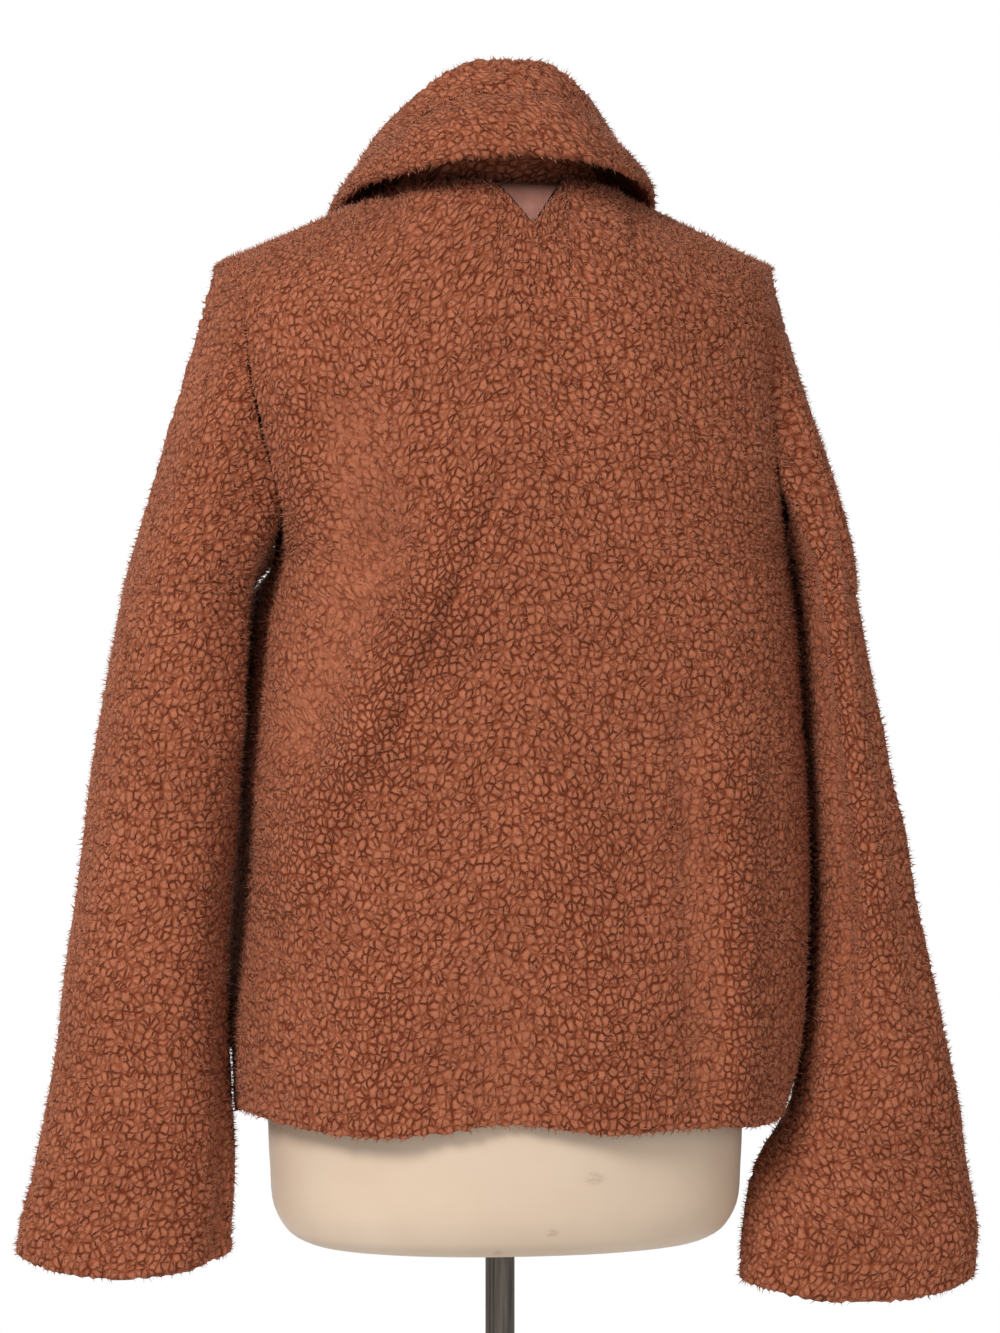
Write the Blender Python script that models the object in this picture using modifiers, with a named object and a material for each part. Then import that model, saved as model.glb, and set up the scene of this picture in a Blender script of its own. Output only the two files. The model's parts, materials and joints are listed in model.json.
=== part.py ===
"""A sherpa jacket on a limbless dress form with its stand.

The jacket is built from the pieces its maker cuts: a back, two fronts, two
sleeves, a turned-over collar and a small smooth patch set into the nape.
All lengths are millimetres; MM turns them into metres when a mesh is made.
+Z is up, the front faces -Y and the wearer's left is +X.
"""

import math

import bmesh
import bpy
import numpy as np

MM = 0.001


def table(names, rows):
    """A table as columns of numbers by name; the first column is looked up."""
    return dict(zip(names, np.array(rows, float).T))


# Looks: colour, roughness and metallic
SHERPA = ((0.42, 0.15, 0.075), 0.95, 0.0)
PATCH = ((0.45, 0.21, 0.17), 0.55, 0.0)
FORM_LOOK = ((0.55, 0.42, 0.33), 0.6, 0.0)
STEEL = ((0.30, 0.27, 0.25), 0.3, 1.0)

# How finely the pieces are divided
SIDE_ROWS = 13
ARM_ROWS = 7
TOP_ROWS = 6
BACK_COLUMNS = 28
CAP_ROWS = 7
SLEEVE_ROWS = 14
COLLAR_TURNS = 36
COLLAR_STEPS = 14
PATCH_CELLS = 4
FORM_SIDES = 32
POLE_SIDES = 32
FOOT_SIDES = 64

# Cloth: knit backing with its pile, and the gap kept at a seam
WALL = 7.0
COLLAR_WALL = 8.0
PATCH_WALL = 2.0
PATCH_SET = 2.5
SEAM_GAP = 0.3
ARMHOLE_GAP = 0.8
LAP_GAP = 1.4
TIP_GAP = 0.8

# Heights of the jacket on its stand
HEM = 645.0
YOKE = 1165.0
NECK_POINT = 1261.0

# The top of the body: shoulder seams and neckline
SHOULDER_LEFT = 191.0
SHOULDER_RIGHT = 185.0
SHOULDER_SLOPE = 0.45
NECK_HALF = 75.0
NECK_BACK = 80.0
NECK_FRONT = 72.0
NECK_BACK_DROP = 2.0
NECK_FRONT_DROP = 49.0

# Sections of the body: how far it reaches from the pole's axis each way
BODY = table(("height", "left", "right", "back", "front"), [
    (640, 177, 188, 123, 122),
    (680, 178, 200, 122, 123),
    (760, 171, 207, 117, 122),
    (830, 166, 208, 113, 121),
    (900, 165, 204, 113, 123),
    (970, 159, 199, 117, 128),
    (1025, 151, 192, 120, 131),
    (1075, 170, 191, 121, 127),
    (1130, 188, 188, 119, 117),
    (1165, 192, 187, 115, 107),
])
SECTION_POWER = 0.84
SECTION_HALF_WIDTH = 190.0
SECTION_HALF_DEPTH = 118.0

# The armhole's edge, as an angle round the body from the side, at each level
ARMHOLE = table(("level", "angle"), [
    (0.706, 0.0),
    (0.725, 8.0),
    (0.760, 16.0),
    (0.820, 22.0),
    (0.900, 25.5),
    (1.000, 26.0),
    (1.400, 22.0),
    (1.750, 13.0),
    (2.000, 3.0),
])

# Folds of the back and fronts: a line from x, z to x, z, its width and its rise
BACK_FOLDS = (
    (34, 1040, 61, 972, 20, 7),
    (61, 972, 99, 896, 22, 10),
    (99, 896, 150, 800, 22, 9),
    (104, 1100, 96, 1020, 22, -7),
    (96, 1020, 138, 900, 18, -8),
    (146, 1120, 142, 1030, 11, 5),
    (-110, 905, -118, 665, 13, -5),
    (-145, 880, -146, 660, 17, 6),
    (-30, 850, -62, 650, 26, 4),
    (22, 740, 12, 640, 20, -4),
    (98, 730, 96, 640, 26, 4),
)
FRONT_FOLDS = (
    (70, 1020, 92, 800, 24, 6),
    (118, 1000, 132, 700, 18, -6),
    (-76, 1010, -104, 780, 24, 6),
    (-122, 960, -136, 690, 18, -5),
    (-48, 800, -52, 640, 22, 4),
    (44, 820, 48, 640, 22, -3),
)

# Waves of the hem: x, width and drop
HEM_WAVES = ((178, 26, -6.0), (95, 45, 4.5), (10, 34, -4.0), (-60, 40, 4.0), (-160, 40, 5.0))

# The left front swells out beside the sleeve: how far, where and over what height
SWELL_OUT = 16.0
SWELL_ANGLE = math.radians(-20)
SWELL_WIDTH = math.radians(15)
SWELL_LOW = (676.0, 30.0)
SWELL_HIGH = (1014.0, 24.0)

# The lapped front: how far the wearer's left front passes the middle
LAP = 22.0
LAP_EASE = 26.0
LAP_MARGIN = 9.0

# The notch at the nape that holds the patch
NOTCH_X = -7.0
NOTCH_HALF = 24.0
NOTCH_DEPTH = 30.0
PATCH_TIP = 0.06
PATCH_MARGIN = 3.6
PATCH_EASE = 0.8

# Sleeves below the upper arm: centre, half width and half depth at heights
SLEEVE_LEFT = table(("height", "centre_x", "centre_y", "half_x", "half_y"), [
    (990, 209, 0, 43, 66),
    (929, 216, -2, 47, 64),
    (875, 223, -3, 49, 62),
    (833, 227, -3, 50, 61),
    (786, 232, -3, 51, 60),
    (746, 236, -3, 53, 59),
    (679, 239, -3, 58, 55),
    (612, 244, -3, 66, 48),
    (562, 250, -3, 70, 44),
    (543, 251, -3, 71, 43),
])
SLEEVE_RIGHT = table(("height", "centre_x", "centre_y", "half_x", "half_y"), [
    (990, -217.5, -4, 18, 84),
    (929, -226.5, -4, 22, 82),
    (875, -233, -2, 24.5, 80),
    (833, -239.5, 2, 28.5, 78),
    (786, -244, 6, 32, 75),
    (746, -248, 10, 37.5, 71),
    (679, -252, 14, 49.5, 62),
    (645, -252, 16, 57, 55),
    (612, -244, 16, 70, 47),
    (562, -243, 16, 80, 40),
    (519, -241, 16, 80, 38),
])

# The cuff's edge rises at its sides
CUFF_LIFT = 11.0
CUFF_REACH = 70.0

# Sleeve heads: how far each swells sideways, leaves, lands and tucks in
UNDERARM_REACH = 30.0
CREST_FALL = 0.45
SLEEVE_CAPS = {"left": (0.6, 95.0, 90.0, 0.0), "right": (1.6, 125.0, 165.0, 0.34)}

# The collar: its roll and its outer edge, by turns from the middle of the back
COLLAR = table(("turn", "roll_x", "roll_y", "roll_z", "edge_x", "edge_y", "edge_z"), [
    (0, 0, 86, 1329, 0, 119, 1270),
    (30, 26, 82, 1327, 40, 115, 1266),
    (60, 53, 60, 1309, 71, 86, 1260),
    (90, 74, 14, 1286, 95, 24, 1256),
    (120, 74, -42, 1268, 105, -62, 1237),
    (150, 50, -78, 1251, 92, -113, 1188),
    (172, 14, -92, 1241, 64, -123, 1162),
])
ROLL_RADIUS = 12.0
STAND_LIFT = 2.8
COLLAR_END = 172.0
COLLAR_SET = 7.0

# The crease across the collar's fall, between its two rolls
CREASE_PLACE = 30.0
CREASE_WIDTH = 8.0
CREASE_DEPTH = 6.0
BELLY = 8.0

# The dress form: half width, back depth and front depth at heights
FORM_BOTTOM = 558.0
FORM = table(("height", "half", "back", "front"), [
    (558, 118, 74, 70),
    (561, 134, 86, 82),
    (569, 147, 97, 92),
    (583, 155, 104, 98),
    (612, 158, 107, 101),
    (690, 157, 107, 100),
    (770, 143, 97, 92),
    (850, 125, 82, 84),
    (920, 127, 84, 90),
    (990, 138, 92, 104),
    (1050, 146, 98, 112),
    (1110, 150, 100, 104),
    (1155, 152, 92, 88),
    (1185, 152, 82, 74),
])
FORM_POWER = 0.9
FORM_LEAN = -4.0
FORM_SHOULDER = 146.0
FORM_NECK_BASE = 88.0
FORM_SEAT = 0.45
FORM_NECK = 50.0
FORM_NECK_TOP = 1286.0

# The stand: a pole in a round weighted foot
POLE_RADIUS = 9.8
FOOT_RADIUS = 160.0
FOOT_EDGE = 5.0
FOOT_TOP = 8.0
SOCKET_RADIUS = 18.0
SOCKET_TOP = 30.0


def read(rows, column, at):
    """Read one column of a table at places between its rows, smoothly."""
    knots = next(iter(rows.values()))
    values = rows[column]
    if knots[0] > knots[-1]:
        knots = knots[::-1]
        values = values[::-1]
    slopes = np.gradient(values, knots)
    at = np.clip(at, knots[0], knots[-1])
    cell = np.clip(np.searchsorted(knots, at) - 1, 0, len(knots) - 2)
    width = knots[cell + 1] - knots[cell]
    part = (at - knots[cell]) / width
    start = (1 + 2 * part) * (1 - part) ** 2
    start_slope = part * (1 - part) ** 2
    end = part ** 2 * (3 - 2 * part)
    end_slope = part ** 2 * (part - 1)
    return (start * values[cell] + start_slope * width * slopes[cell]
            + end * values[cell + 1] + end_slope * width * slopes[cell + 1])


def unit(vectors):
    """Scale vectors to length one."""
    length = np.linalg.norm(vectors, axis=-1, keepdims=True)
    return vectors / np.maximum(length, 1e-9)


def signed_power(value, power):
    """Raise to a power, keeping the sign: the corners of a section."""
    return np.sign(value) * np.abs(value) ** power


def smooth_step(value):
    """Ease from nought to one."""
    part = np.clip(value, 0, 1)
    return part * part * (3 - 2 * part)


def fold_rise(folds, x, z):
    """How far the folds lift the cloth at a place on a panel."""
    rise = np.zeros(np.broadcast(x, z).shape)
    for x0, z0, x1, z1, width, height in folds:
        run = np.array((x1 - x0, z1 - z0), float)
        length = np.hypot(*run)
        along = ((x - x0) * run[0] + (z - z0) * run[1]) / length ** 2
        nearest = np.clip(along, 0, 1)
        away = np.hypot(x - x0 - nearest * run[0], z - z0 - nearest * run[1])
        rise = rise + height * np.exp(-(away / width) ** 2)
    return rise


def body_point(angle, level):
    """The body's outer surface: angle from the left side through the back,
    level 0 at the hem, 1 at the yoke and 2 at the shoulder and neck."""
    angle, level = np.broadcast_arrays(np.asarray(angle, float), np.asarray(level, float))
    low = np.clip(level, 0, 1)
    rise = np.clip(level - 1, 0, 1) * math.pi / 2
    height = HEM + low * (YOKE - HEM)
    left, right, back, front = (read(BODY, side, height)
                                for side in ("left", "right", "back", "front"))
    left = left + (SHOULDER_LEFT - left) * np.sin(rise)
    right = right + (SHOULDER_RIGHT - right) * np.sin(rise)
    across = signed_power(np.cos(angle), SECTION_POWER)
    along = signed_power(np.sin(angle), SECTION_POWER)
    behind = np.sin(angle) >= 0
    x = np.where(across > 0, left, right) * across
    y_low = np.where(behind, back, front) * along
    neck = np.clip(1 - (x / NECK_HALF) ** 2, 0, 1)
    y_top = np.where(behind, NECK_BACK, -NECK_FRONT) * np.sqrt(neck)
    slope_drop = SHOULDER_SLOPE * np.maximum(np.abs(x) - NECK_HALF, 0)
    z_top = NECK_POINT - slope_drop - np.where(behind, NECK_BACK_DROP, NECK_FRONT_DROP) * neck
    y = y_low * np.cos(rise) + y_top * (1 - np.cos(rise))
    z = height + (z_top - YOKE) * np.sin(rise)
    lift = np.where(behind, fold_rise(BACK_FOLDS, x, z), fold_rise(FRONT_FOLDS, x, z))
    lift = lift * smooth_step(np.abs(along) * 1.6 - 0.25)
    beside = np.mod(angle - SWELL_ANGLE + math.pi, 2 * math.pi) - math.pi
    swell = (SWELL_OUT * np.exp(-(beside / SWELL_WIDTH) ** 2)
             * smooth_step((z - SWELL_LOW[0]) / SWELL_LOW[1])
             * smooth_step((SWELL_HIGH[0] - z) / SWELL_HIGH[1]))
    lift = lift + swell
    out = unit(np.stack((across / SECTION_HALF_WIDTH, along / SECTION_HALF_DEPTH), axis=-1))
    x = x + out[..., 0] * lift
    y = y + out[..., 1] * lift
    wave = np.zeros(x.shape)
    for wave_x, width, drop in HEM_WAVES:
        wave = wave + drop * np.exp(-((x - wave_x) / width) ** 2)
    z = z - wave * (1 - low) ** 3 * np.where(behind, 1.0, 0.6)
    return np.stack((x, y, z), axis=-1)


def body_normal(angle, level):
    """The outward direction of the body's surface."""
    turn = 0.004
    climb = 0.004
    level = np.asarray(level, float)
    upper = np.minimum(level + climb, 2)
    lower = np.maximum(level - climb, 0)
    around = body_point(angle + turn, level) - body_point(angle - turn, level)
    up = body_point(angle, upper) - body_point(angle, lower)
    return unit(np.cross(around, up))


def armhole_angle(level):
    """The armhole's edge in radians from the side."""
    degrees = read(ARMHOLE, "angle", level)
    return np.radians(np.where(level <= ARMHOLE["level"][0], 0, np.maximum(degrees, 0)))


def body_levels(side_rows, arm_rows, top_rows):
    """Rows from the hem to the armpit, to the yoke and over the shoulder."""
    armpit = ARMHOLE["level"][0]
    below = np.linspace(0, armpit, side_rows + 1)
    ease = np.linspace(0, 1, arm_rows + 1)[1:] ** 1.5
    beside = armpit + (1 - armpit) * ease
    over = 1 + np.sin(np.linspace(0, math.pi / 2, top_rows + 1)[1:])
    return np.concatenate((below, beside, over))


def even_angles(first, last, count, level=0.5):
    """Angles round the body that lie an even distance apart."""
    dense = np.linspace(first, last, 721)
    points = body_point(dense, level)[:, :2]
    run = np.concatenate(((0,), np.cumsum(np.linalg.norm(np.diff(points, axis=0), axis=1))))
    return np.interp(np.linspace(0, run[-1], count + 1), run, dense)


def panel_grid(first, last, levels, first_arm, last_arm, columns, notch=False):
    """Angles and levels of a panel whose sides follow the armholes."""
    spread = (even_angles(first, last, columns) - first) / (last - first)
    if notch:
        corners = np.array((NOTCH_X - NOTCH_HALF, NOTCH_X, NOTCH_X + NOTCH_HALF))
        reach = np.where(corners > 0, SHOULDER_LEFT, SHOULDER_RIGHT)
        angle = np.arccos(signed_power(corners / reach, 1 / SECTION_POWER))
        edge = armhole_angle(np.array(2.0))
        for place in (angle - first - edge) / (last - first - 2 * edge):
            spread[np.argmin(np.abs(spread - place))] = place
    level = np.repeat(levels[:, None], len(spread), axis=1)
    start = first + (armhole_angle(level) if first_arm else 0)
    end = last - (armhole_angle(level) if last_arm else 0)
    return start + (end - start) * spread[None, :], level


def panel_walls(angle, level, wall):
    """Outer and inner points of a panel."""
    outer = body_point(angle, level)
    normal = body_normal(angle, level)
    crest = level >= 2
    normal[..., 1] = np.where(crest & (np.abs(outer[..., 0]) > NECK_HALF - 6), 0, normal[..., 1])
    normal = unit(normal)
    return outer, outer - normal * wall


def open_seams(outer, inner, side):
    """Move a panel's side and shoulder seams half a gap away from y = 0."""
    for surface in (outer, inner):
        surface[..., 1] = side * np.maximum(side * surface[..., 1], SEAM_GAP / 2)
    return outer, inner


def grid_faces(rows, columns, closed, offset=0, flip=False):
    """Quads of a grid of points, row by row."""
    faces = []
    for row in range(rows - 1):
        for column in range(columns if closed else columns - 1):
            after = (column + 1) % columns
            face = (offset + row * columns + column, offset + row * columns + after,
                    offset + (row + 1) * columns + after, offset + (row + 1) * columns + column)
            faces.append(face[::-1] if flip else face)
    return faces


def rim_faces(edge, offset, flip):
    """Quads that join the outer and inner points along an edge."""
    faces = []
    for first, second in zip(edge, edge[1:]):
        face = (first, first + offset, second + offset, second)
        faces.append(face[::-1] if flip else face)
    return faces


def make_object(name, points, faces, look):
    """Make a mesh object from millimetre points and put it in the model."""
    mesh = bpy.data.meshes.new(name)
    mesh.from_pydata([tuple(point) for point in np.asarray(points) * MM], [], faces)
    mesh.validate()
    shell = bmesh.new()
    shell.from_mesh(mesh)
    bmesh.ops.recalc_face_normals(shell, faces=shell.faces)
    shell.to_mesh(mesh)
    shell.free()
    mesh.shade_smooth()
    mesh.set_sharp_from_angle(angle=math.radians(50))
    made = bpy.data.objects.new(name, mesh)
    PARTS.objects.link(made)
    made.data.materials.append(material(name, *look))
    return made


def material(name, colour, roughness, metallic):
    """A plain Principled material."""
    made = bpy.data.materials.new(name)
    made.use_nodes = True
    shader = made.node_tree.nodes["Principled BSDF"]
    shader.inputs["Base Color"].default_value = (*colour, 1)
    shader.inputs["Roughness"].default_value = roughness
    shader.inputs["Metallic"].default_value = metallic
    return made


def wall_object(name, outer, inner, look, closed=False):
    """A wall between two grids of points, with its rims."""
    rows, columns = outer.shape[:2]
    count = rows * columns
    points = np.concatenate((outer.reshape(-1, 3), inner.reshape(-1, 3)))
    faces = grid_faces(rows, columns, closed)
    faces += grid_faces(rows, columns, closed, offset=count, flip=True)
    bottom = list(range(columns)) + ([0] if closed else [])
    top = [(rows - 1) * columns + column for column in bottom]
    faces += rim_faces(bottom, count, False)
    faces += rim_faces(top, count, True)
    if not closed:
        left = [row * columns for row in range(rows)]
        right = [row * columns + columns - 1 for row in range(rows)]
        faces += rim_faces(left, count, True)
        faces += rim_faces(right, count, False)
    return make_object(name, points, faces, look)


def notch_levels(angle, level):
    """Lower the top rows of the back where the notch is cut."""
    x = body_point(angle, level)[..., 0]
    dip = NOTCH_DEPTH * np.clip(1 - np.abs(x - NOTCH_X) / NOTCH_HALF, 0, 1)
    full = NECK_POINT - NECK_BACK_DROP - YOKE
    top = 1 + np.arcsin((full - dip) / full) / (math.pi / 2)
    return np.where(level > 1, 1 + (level - 1) * (top - 1), level)


def make_body(levels, columns):
    """The back and the two fronts. Returns the armholes' edge points."""
    angle, level = panel_grid(0, math.pi, levels, True, True, columns, notch=True)
    cut_level = notch_levels(angle, level)
    outer, inner = panel_walls(angle, cut_level, WALL)
    outer, inner = open_seams(outer, inner, 1)
    wall_object("back", outer, inner, SHERPA)
    edges = {"left_back": (outer[:, 0], inner[:, 0]), "right_back": (outer[:, -1], inner[:, -1])}

    middle = 1.5 * math.pi
    lap = math.asin((LAP / SHOULDER_RIGHT) ** (1 / SECTION_POWER))
    half = columns // 2 + 1
    angle, level = panel_grid(middle - lap, 2 * math.pi, levels, False, True, half)
    outer, inner = panel_walls(angle, level, WALL)
    outer, inner = open_seams(outer, inner, -1)
    wall_object("front_left", outer, inner, SHERPA)
    edges["left_front"] = (outer[:, -1], inner[:, -1])

    angle, level = panel_grid(math.pi, middle + lap, levels, True, False, half)
    outer, inner = panel_walls(angle, level, WALL)
    outer, inner = open_seams(outer, inner, -1)
    tuck = smooth_step((outer[..., 0] + LAP + LAP_EASE + LAP_MARGIN) / LAP_EASE)
    sink = unit(outer - inner) * ((WALL + LAP_GAP) * tuck)[..., None]
    wall_object("front_right", outer - sink, inner - sink, SHERPA)
    edges["right_front"] = (outer[:, 0], inner[:, 0])
    return edges


def armhole_loop(back, front, first_row):
    """The armhole's points from the shoulder down the back and up the front."""
    loops = []
    for layer in (0, 1):
        down = back[layer][first_row:][::-1]
        up = front[layer][first_row:]
        top = (down[:1] + up[-1:]) / 2
        pit = (down[-1:] + up[:1]) / 2
        loops.append(np.concatenate((top, down[1:-1], pit, up[1:-1])))
    return loops


def sleeve_ring(rings, height, phase):
    """One ring of a sleeve; phase runs from the outside over the back."""
    centre_x, centre_y, half_x, half_y = (read(rings, column, height) for column
                                          in ("centre_x", "centre_y", "half_x", "half_y"))
    side = np.sign(rings["centre_x"][0])
    x = centre_x + side * half_x * signed_power(np.cos(phase), 0.9)
    y = centre_y + half_y * signed_power(np.sin(phase), 0.9)
    near_cuff = smooth_step(1 - (height - rings["height"][-1]) / CUFF_REACH)
    z = height + CUFF_LIFT * near_cuff * np.cos(phase) ** 2
    return np.stack((x, y, z), axis=-1)


def sleeve_grid(rings, loop_outer, loop_inner, cap_rows, rows, cap):
    """The outer points of a sleeve from its armhole to its cuff, and the
    inner points at the armhole."""
    top, cuff = rings["height"][0], rings["height"][-1]
    side = np.sign(rings["centre_x"][0])
    swell, cap_reach, cap_land, tuck = cap
    run = np.linalg.norm(np.roll(loop_outer, -1, axis=0) - loop_outer, axis=1)
    phase = 2 * math.pi * np.concatenate(((0,), np.cumsum(run)))[:-1] / run.sum()
    drop = (1 - np.cos(phase)) / 2
    tangent = np.roll(loop_outer, -1, axis=0) - np.roll(loop_outer, 1, axis=0)
    facing = unit(loop_outer - loop_inner)
    across = unit(np.cross(tangent, facing)) * side
    away = unit(facing * (0.35 + 0.45 * drop)[:, None] + across * (swell * (1 - drop))[:, None]
                + np.array((0, 0, -1.1)))
    reach = cap_reach + (UNDERARM_REACH - cap_reach) * drop
    beside = across * ARMHOLE_GAP
    crest = np.maximum(np.cos(phase), 0)[:, None] ** 8 * (side, 0, -CREST_FALL) * TIP_GAP
    start = loop_outer + beside + crest
    start_inner = loop_inner + beside + crest
    first = sleeve_ring(rings, top, phase)
    second = sleeve_ring(rings, top - 20, phase)
    down = unit(unit(second - first) - (tuck * (1 - drop))[:, None] * np.array((side, 0, 0)))
    land = cap_land + (UNDERARM_REACH - cap_land) * drop
    grid = []
    for part in np.linspace(0, 1, cap_rows + 1)[:-1]:
        grid.append((1 + 2 * part) * (1 - part) ** 2 * start
                    + (part * (1 - part) ** 2 * reach)[:, None] * away
                    + part ** 2 * (3 - 2 * part) * first
                    + (part ** 2 * (part - 1) * land)[:, None] * down)
    for height in np.linspace(top, cuff, rows + 1):
        grid.append(sleeve_ring(rings, height, phase))
    return np.array(grid), start_inner


def make_sleeve(name, rings, loops, cap):
    """A one-piece sleeve from its armhole to its cuff."""
    side = np.sign(rings["centre_x"][0])
    outer, start_inner = sleeve_grid(rings, *loops, CAP_ROWS, SLEEVE_ROWS, cap)
    around = np.roll(outer, -1, axis=1) - np.roll(outer, 1, axis=1)
    along = np.gradient(outer, axis=0)
    normal = unit(np.cross(along, around)) * side
    inner = outer - normal * WALL
    inner[0] = start_inner
    wall_object(name, outer, inner, SHERPA, closed=True)


def neck_edge(turn):
    """The neckline at a turn from the middle of the back."""
    behind = np.cos(turn) >= 0
    x = NECK_HALF * np.sin(turn)
    y = np.where(behind, NECK_BACK, NECK_FRONT) * np.cos(turn)
    neck = 1 - (x / NECK_HALF) ** 2
    drop = np.where(behind, NECK_BACK_DROP, NECK_FRONT_DROP) * neck
    return np.stack((x, y, NECK_POINT - drop), axis=-1)


def collar_path(turn, steps):
    """The collar's face at one turn, up the stand, over the roll and down."""
    mirror = 1 if turn >= 0 else -1
    degrees = abs(math.degrees(turn))
    roll = np.array([read(COLLAR, "roll_" + axis, degrees) for axis in "xyz"])
    edge = np.array([read(COLLAR, "edge_" + axis, degrees) for axis in "xyz"])
    base = neck_edge(np.array(abs(turn)))
    outward = unit(np.array((base[0] / NECK_HALF ** 2, base[1] / NECK_BACK ** 2, 0)))
    front = smooth_step((abs(turn) - 1.3) / 0.35)
    base = base - outward * COLLAR_WALL / 2 + (0, 0, SEAM_GAP * 1.2 + STAND_LIFT * front)
    lean = unit((edge - base) * (1, 1, 0))
    drop = np.array((0, 0, ROLL_RADIUS))
    inside = roll - lean * ROLL_RADIUS - drop
    outside = roll + lean * ROLL_RADIUS - drop
    belly = outside * 0.5 + edge * 0.5 + lean * BELLY
    knots = np.array((base, base * 0.5 + inside * 0.5, inside, roll, outside, belly, edge))
    run = np.concatenate(((0,), np.cumsum(np.linalg.norm(np.diff(knots, axis=0), axis=1))))
    at = np.linspace(0, run[-1], steps + 1)
    path = np.stack([read({"run": run, "place": knots[:, axis]}, "place", at)
                     for axis in (0, 1, 2)], axis=-1)
    past_roll = at - run[3] - CREASE_PLACE
    path = path - lean * (CREASE_DEPTH * np.exp(-(past_roll / CREASE_WIDTH) ** 2))[:, None]
    shift = COLLAR_SET * smooth_step((path[:, 2] - NECK_POINT + 20) / 50)
    return path * (mirror, 1, 1) + shift[:, None] * (1, 0, 0)


def make_collar(columns, steps):
    """The turned-over collar, open at the front."""
    end = math.radians(COLLAR_END)
    turns = np.linspace(-end, end, columns + 1)
    outer = np.array([collar_path(turn, steps) for turn in turns])
    around = np.gradient(outer, axis=0)
    along = np.gradient(outer, axis=1)
    normal = unit(np.cross(along, around))
    inner = outer - normal * COLLAR_WALL
    inner[:, 0, 2] = outer[:, 0, 2]
    wall_object("collar", outer, inner, SHERPA)


def patch_grid(cells):
    """The outer points of the patch, from its tip to its top edge."""
    full = NECK_POINT - NECK_BACK_DROP - YOKE
    grid = []
    for row in np.linspace(PATCH_TIP, 1, cells + 1):
        half = (NOTCH_HALF - PATCH_MARGIN) * row - PATCH_EASE
        x = NOTCH_X + np.linspace(half, -half, cells + 1)
        reach = np.where(x > 0, SHOULDER_LEFT, SHOULDER_RIGHT)
        angle = np.arccos(signed_power(x / reach, 1 / SECTION_POWER))
        height = full - NOTCH_DEPTH * (1 - row) - SEAM_GAP
        level = 1 + np.arcsin(height / full) / (math.pi / 2)
        place = np.full(x.shape, level)
        grid.append(body_point(angle, place) - body_normal(angle, place) * PATCH_SET)
    return np.array(grid)


def make_patch(cells):
    """The smooth three-cornered patch in the notch of the back."""
    outer = patch_grid(cells)
    around = np.gradient(outer, axis=1)
    along = np.gradient(outer, axis=0)
    inner = outer - unit(np.cross(around, along)) * PATCH_WALL
    wall_object("neck_patch", outer, inner, PATCH)


def form_rings():
    """Heights and half sizes of the form, with its shoulders and neck."""
    rings = list(zip(*FORM.values()))
    seat = NECK_POINT - WALL / math.cos(math.atan(SHOULDER_SLOPE)) - FORM_SEAT
    for half in np.linspace(FORM_SHOULDER, FORM_NECK_BASE, 5):
        height = seat - SHOULDER_SLOPE * (half - NECK_HALF)
        rings.append((height, half, 52, 36))
    base = rings[-1][0]
    for rise, half, back, front in ((1, 72, 52, 36), (4, 62, 52, 38), (10, 57, 52, 43)):
        rings.append((base + rise, half, back, front))
    rings.append((base + 24, FORM_NECK, FORM_NECK, FORM_NECK))
    rings.append((FORM_NECK_TOP, FORM_NECK, FORM_NECK, FORM_NECK))
    return rings


def make_form(columns):
    """The dress form's torso: a whole smooth body with a flat neck."""
    phase = np.linspace(0, 2 * math.pi, columns, endpoint=False)
    grid = []
    for height, half, back, front in form_rings():
        lean = FORM_LEAN * (1 - smooth_step((height - FORM_BOTTOM) / (YOKE - FORM_BOTTOM)))
        depth = np.where(np.sin(phase) >= 0, back, front)
        grid.append(np.stack((lean + half * signed_power(np.cos(phase), FORM_POWER),
                              depth * signed_power(np.sin(phase), FORM_POWER),
                              np.full(columns, height)), axis=-1))
    points = np.array(grid)
    rows = len(points)
    faces = grid_faces(rows, columns, True)
    faces.append(tuple(range(columns))[::-1])
    faces.append(tuple((rows - 1) * columns + column for column in range(columns)))
    make_object("form_torso", points.reshape(-1, 3), faces, FORM_LOOK)


def make_pole():
    """The steel pole between the foot and the form."""
    low = FOOT_TOP + SEAM_GAP
    high = FORM_BOTTOM - SEAM_GAP
    bpy.ops.mesh.primitive_cylinder_add(vertices=POLE_SIDES, radius=POLE_RADIUS * MM,
                                        depth=(high - low) * MM,
                                        location=(0, 0, (low + high) / 2 * MM))
    keep_object(bpy.context.object, "stand_pole", STEEL)


def make_foot():
    """The round foot: a turned plate with a socket for the pole."""
    bore = POLE_RADIUS + SEAM_GAP
    profile = ((0, FOOT_TOP), (bore, FOOT_TOP), (bore, SOCKET_TOP), (SOCKET_RADIUS, SOCKET_TOP),
               (SOCKET_RADIUS + 3, FOOT_TOP + 3), (FOOT_RADIUS - 6, FOOT_TOP),
               (FOOT_RADIUS, FOOT_EDGE), (FOOT_RADIUS, 0), (0, 0))
    mesh = bpy.data.meshes.new("stand_foot")
    edges = [(place, place + 1) for place in range(len(profile) - 1)]
    mesh.from_pydata([(radius * MM, 0, height * MM) for radius, height in profile], edges, [])
    foot = bpy.data.objects.new("stand_foot", mesh)
    PARTS.objects.link(foot)
    turn = foot.modifiers.new("turn", "SCREW")
    turn.steps = FOOT_SIDES
    turn.render_steps = FOOT_SIDES
    turn.use_merge_vertices = True
    turn.merge_threshold = 0.00001
    foot.data.materials.append(material("stand_foot", *STEEL))


def keep_object(made, name, look):
    """Name a primitive, move it to the model's collection and finish it."""
    made.name = name
    made.data.name = name
    for home in list(made.users_collection):
        home.objects.unlink(made)
    PARTS.objects.link(made)
    made.data.shade_smooth()
    made.data.set_sharp_from_angle(angle=math.radians(40))
    made.data.materials.append(material(name, *look))


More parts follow.
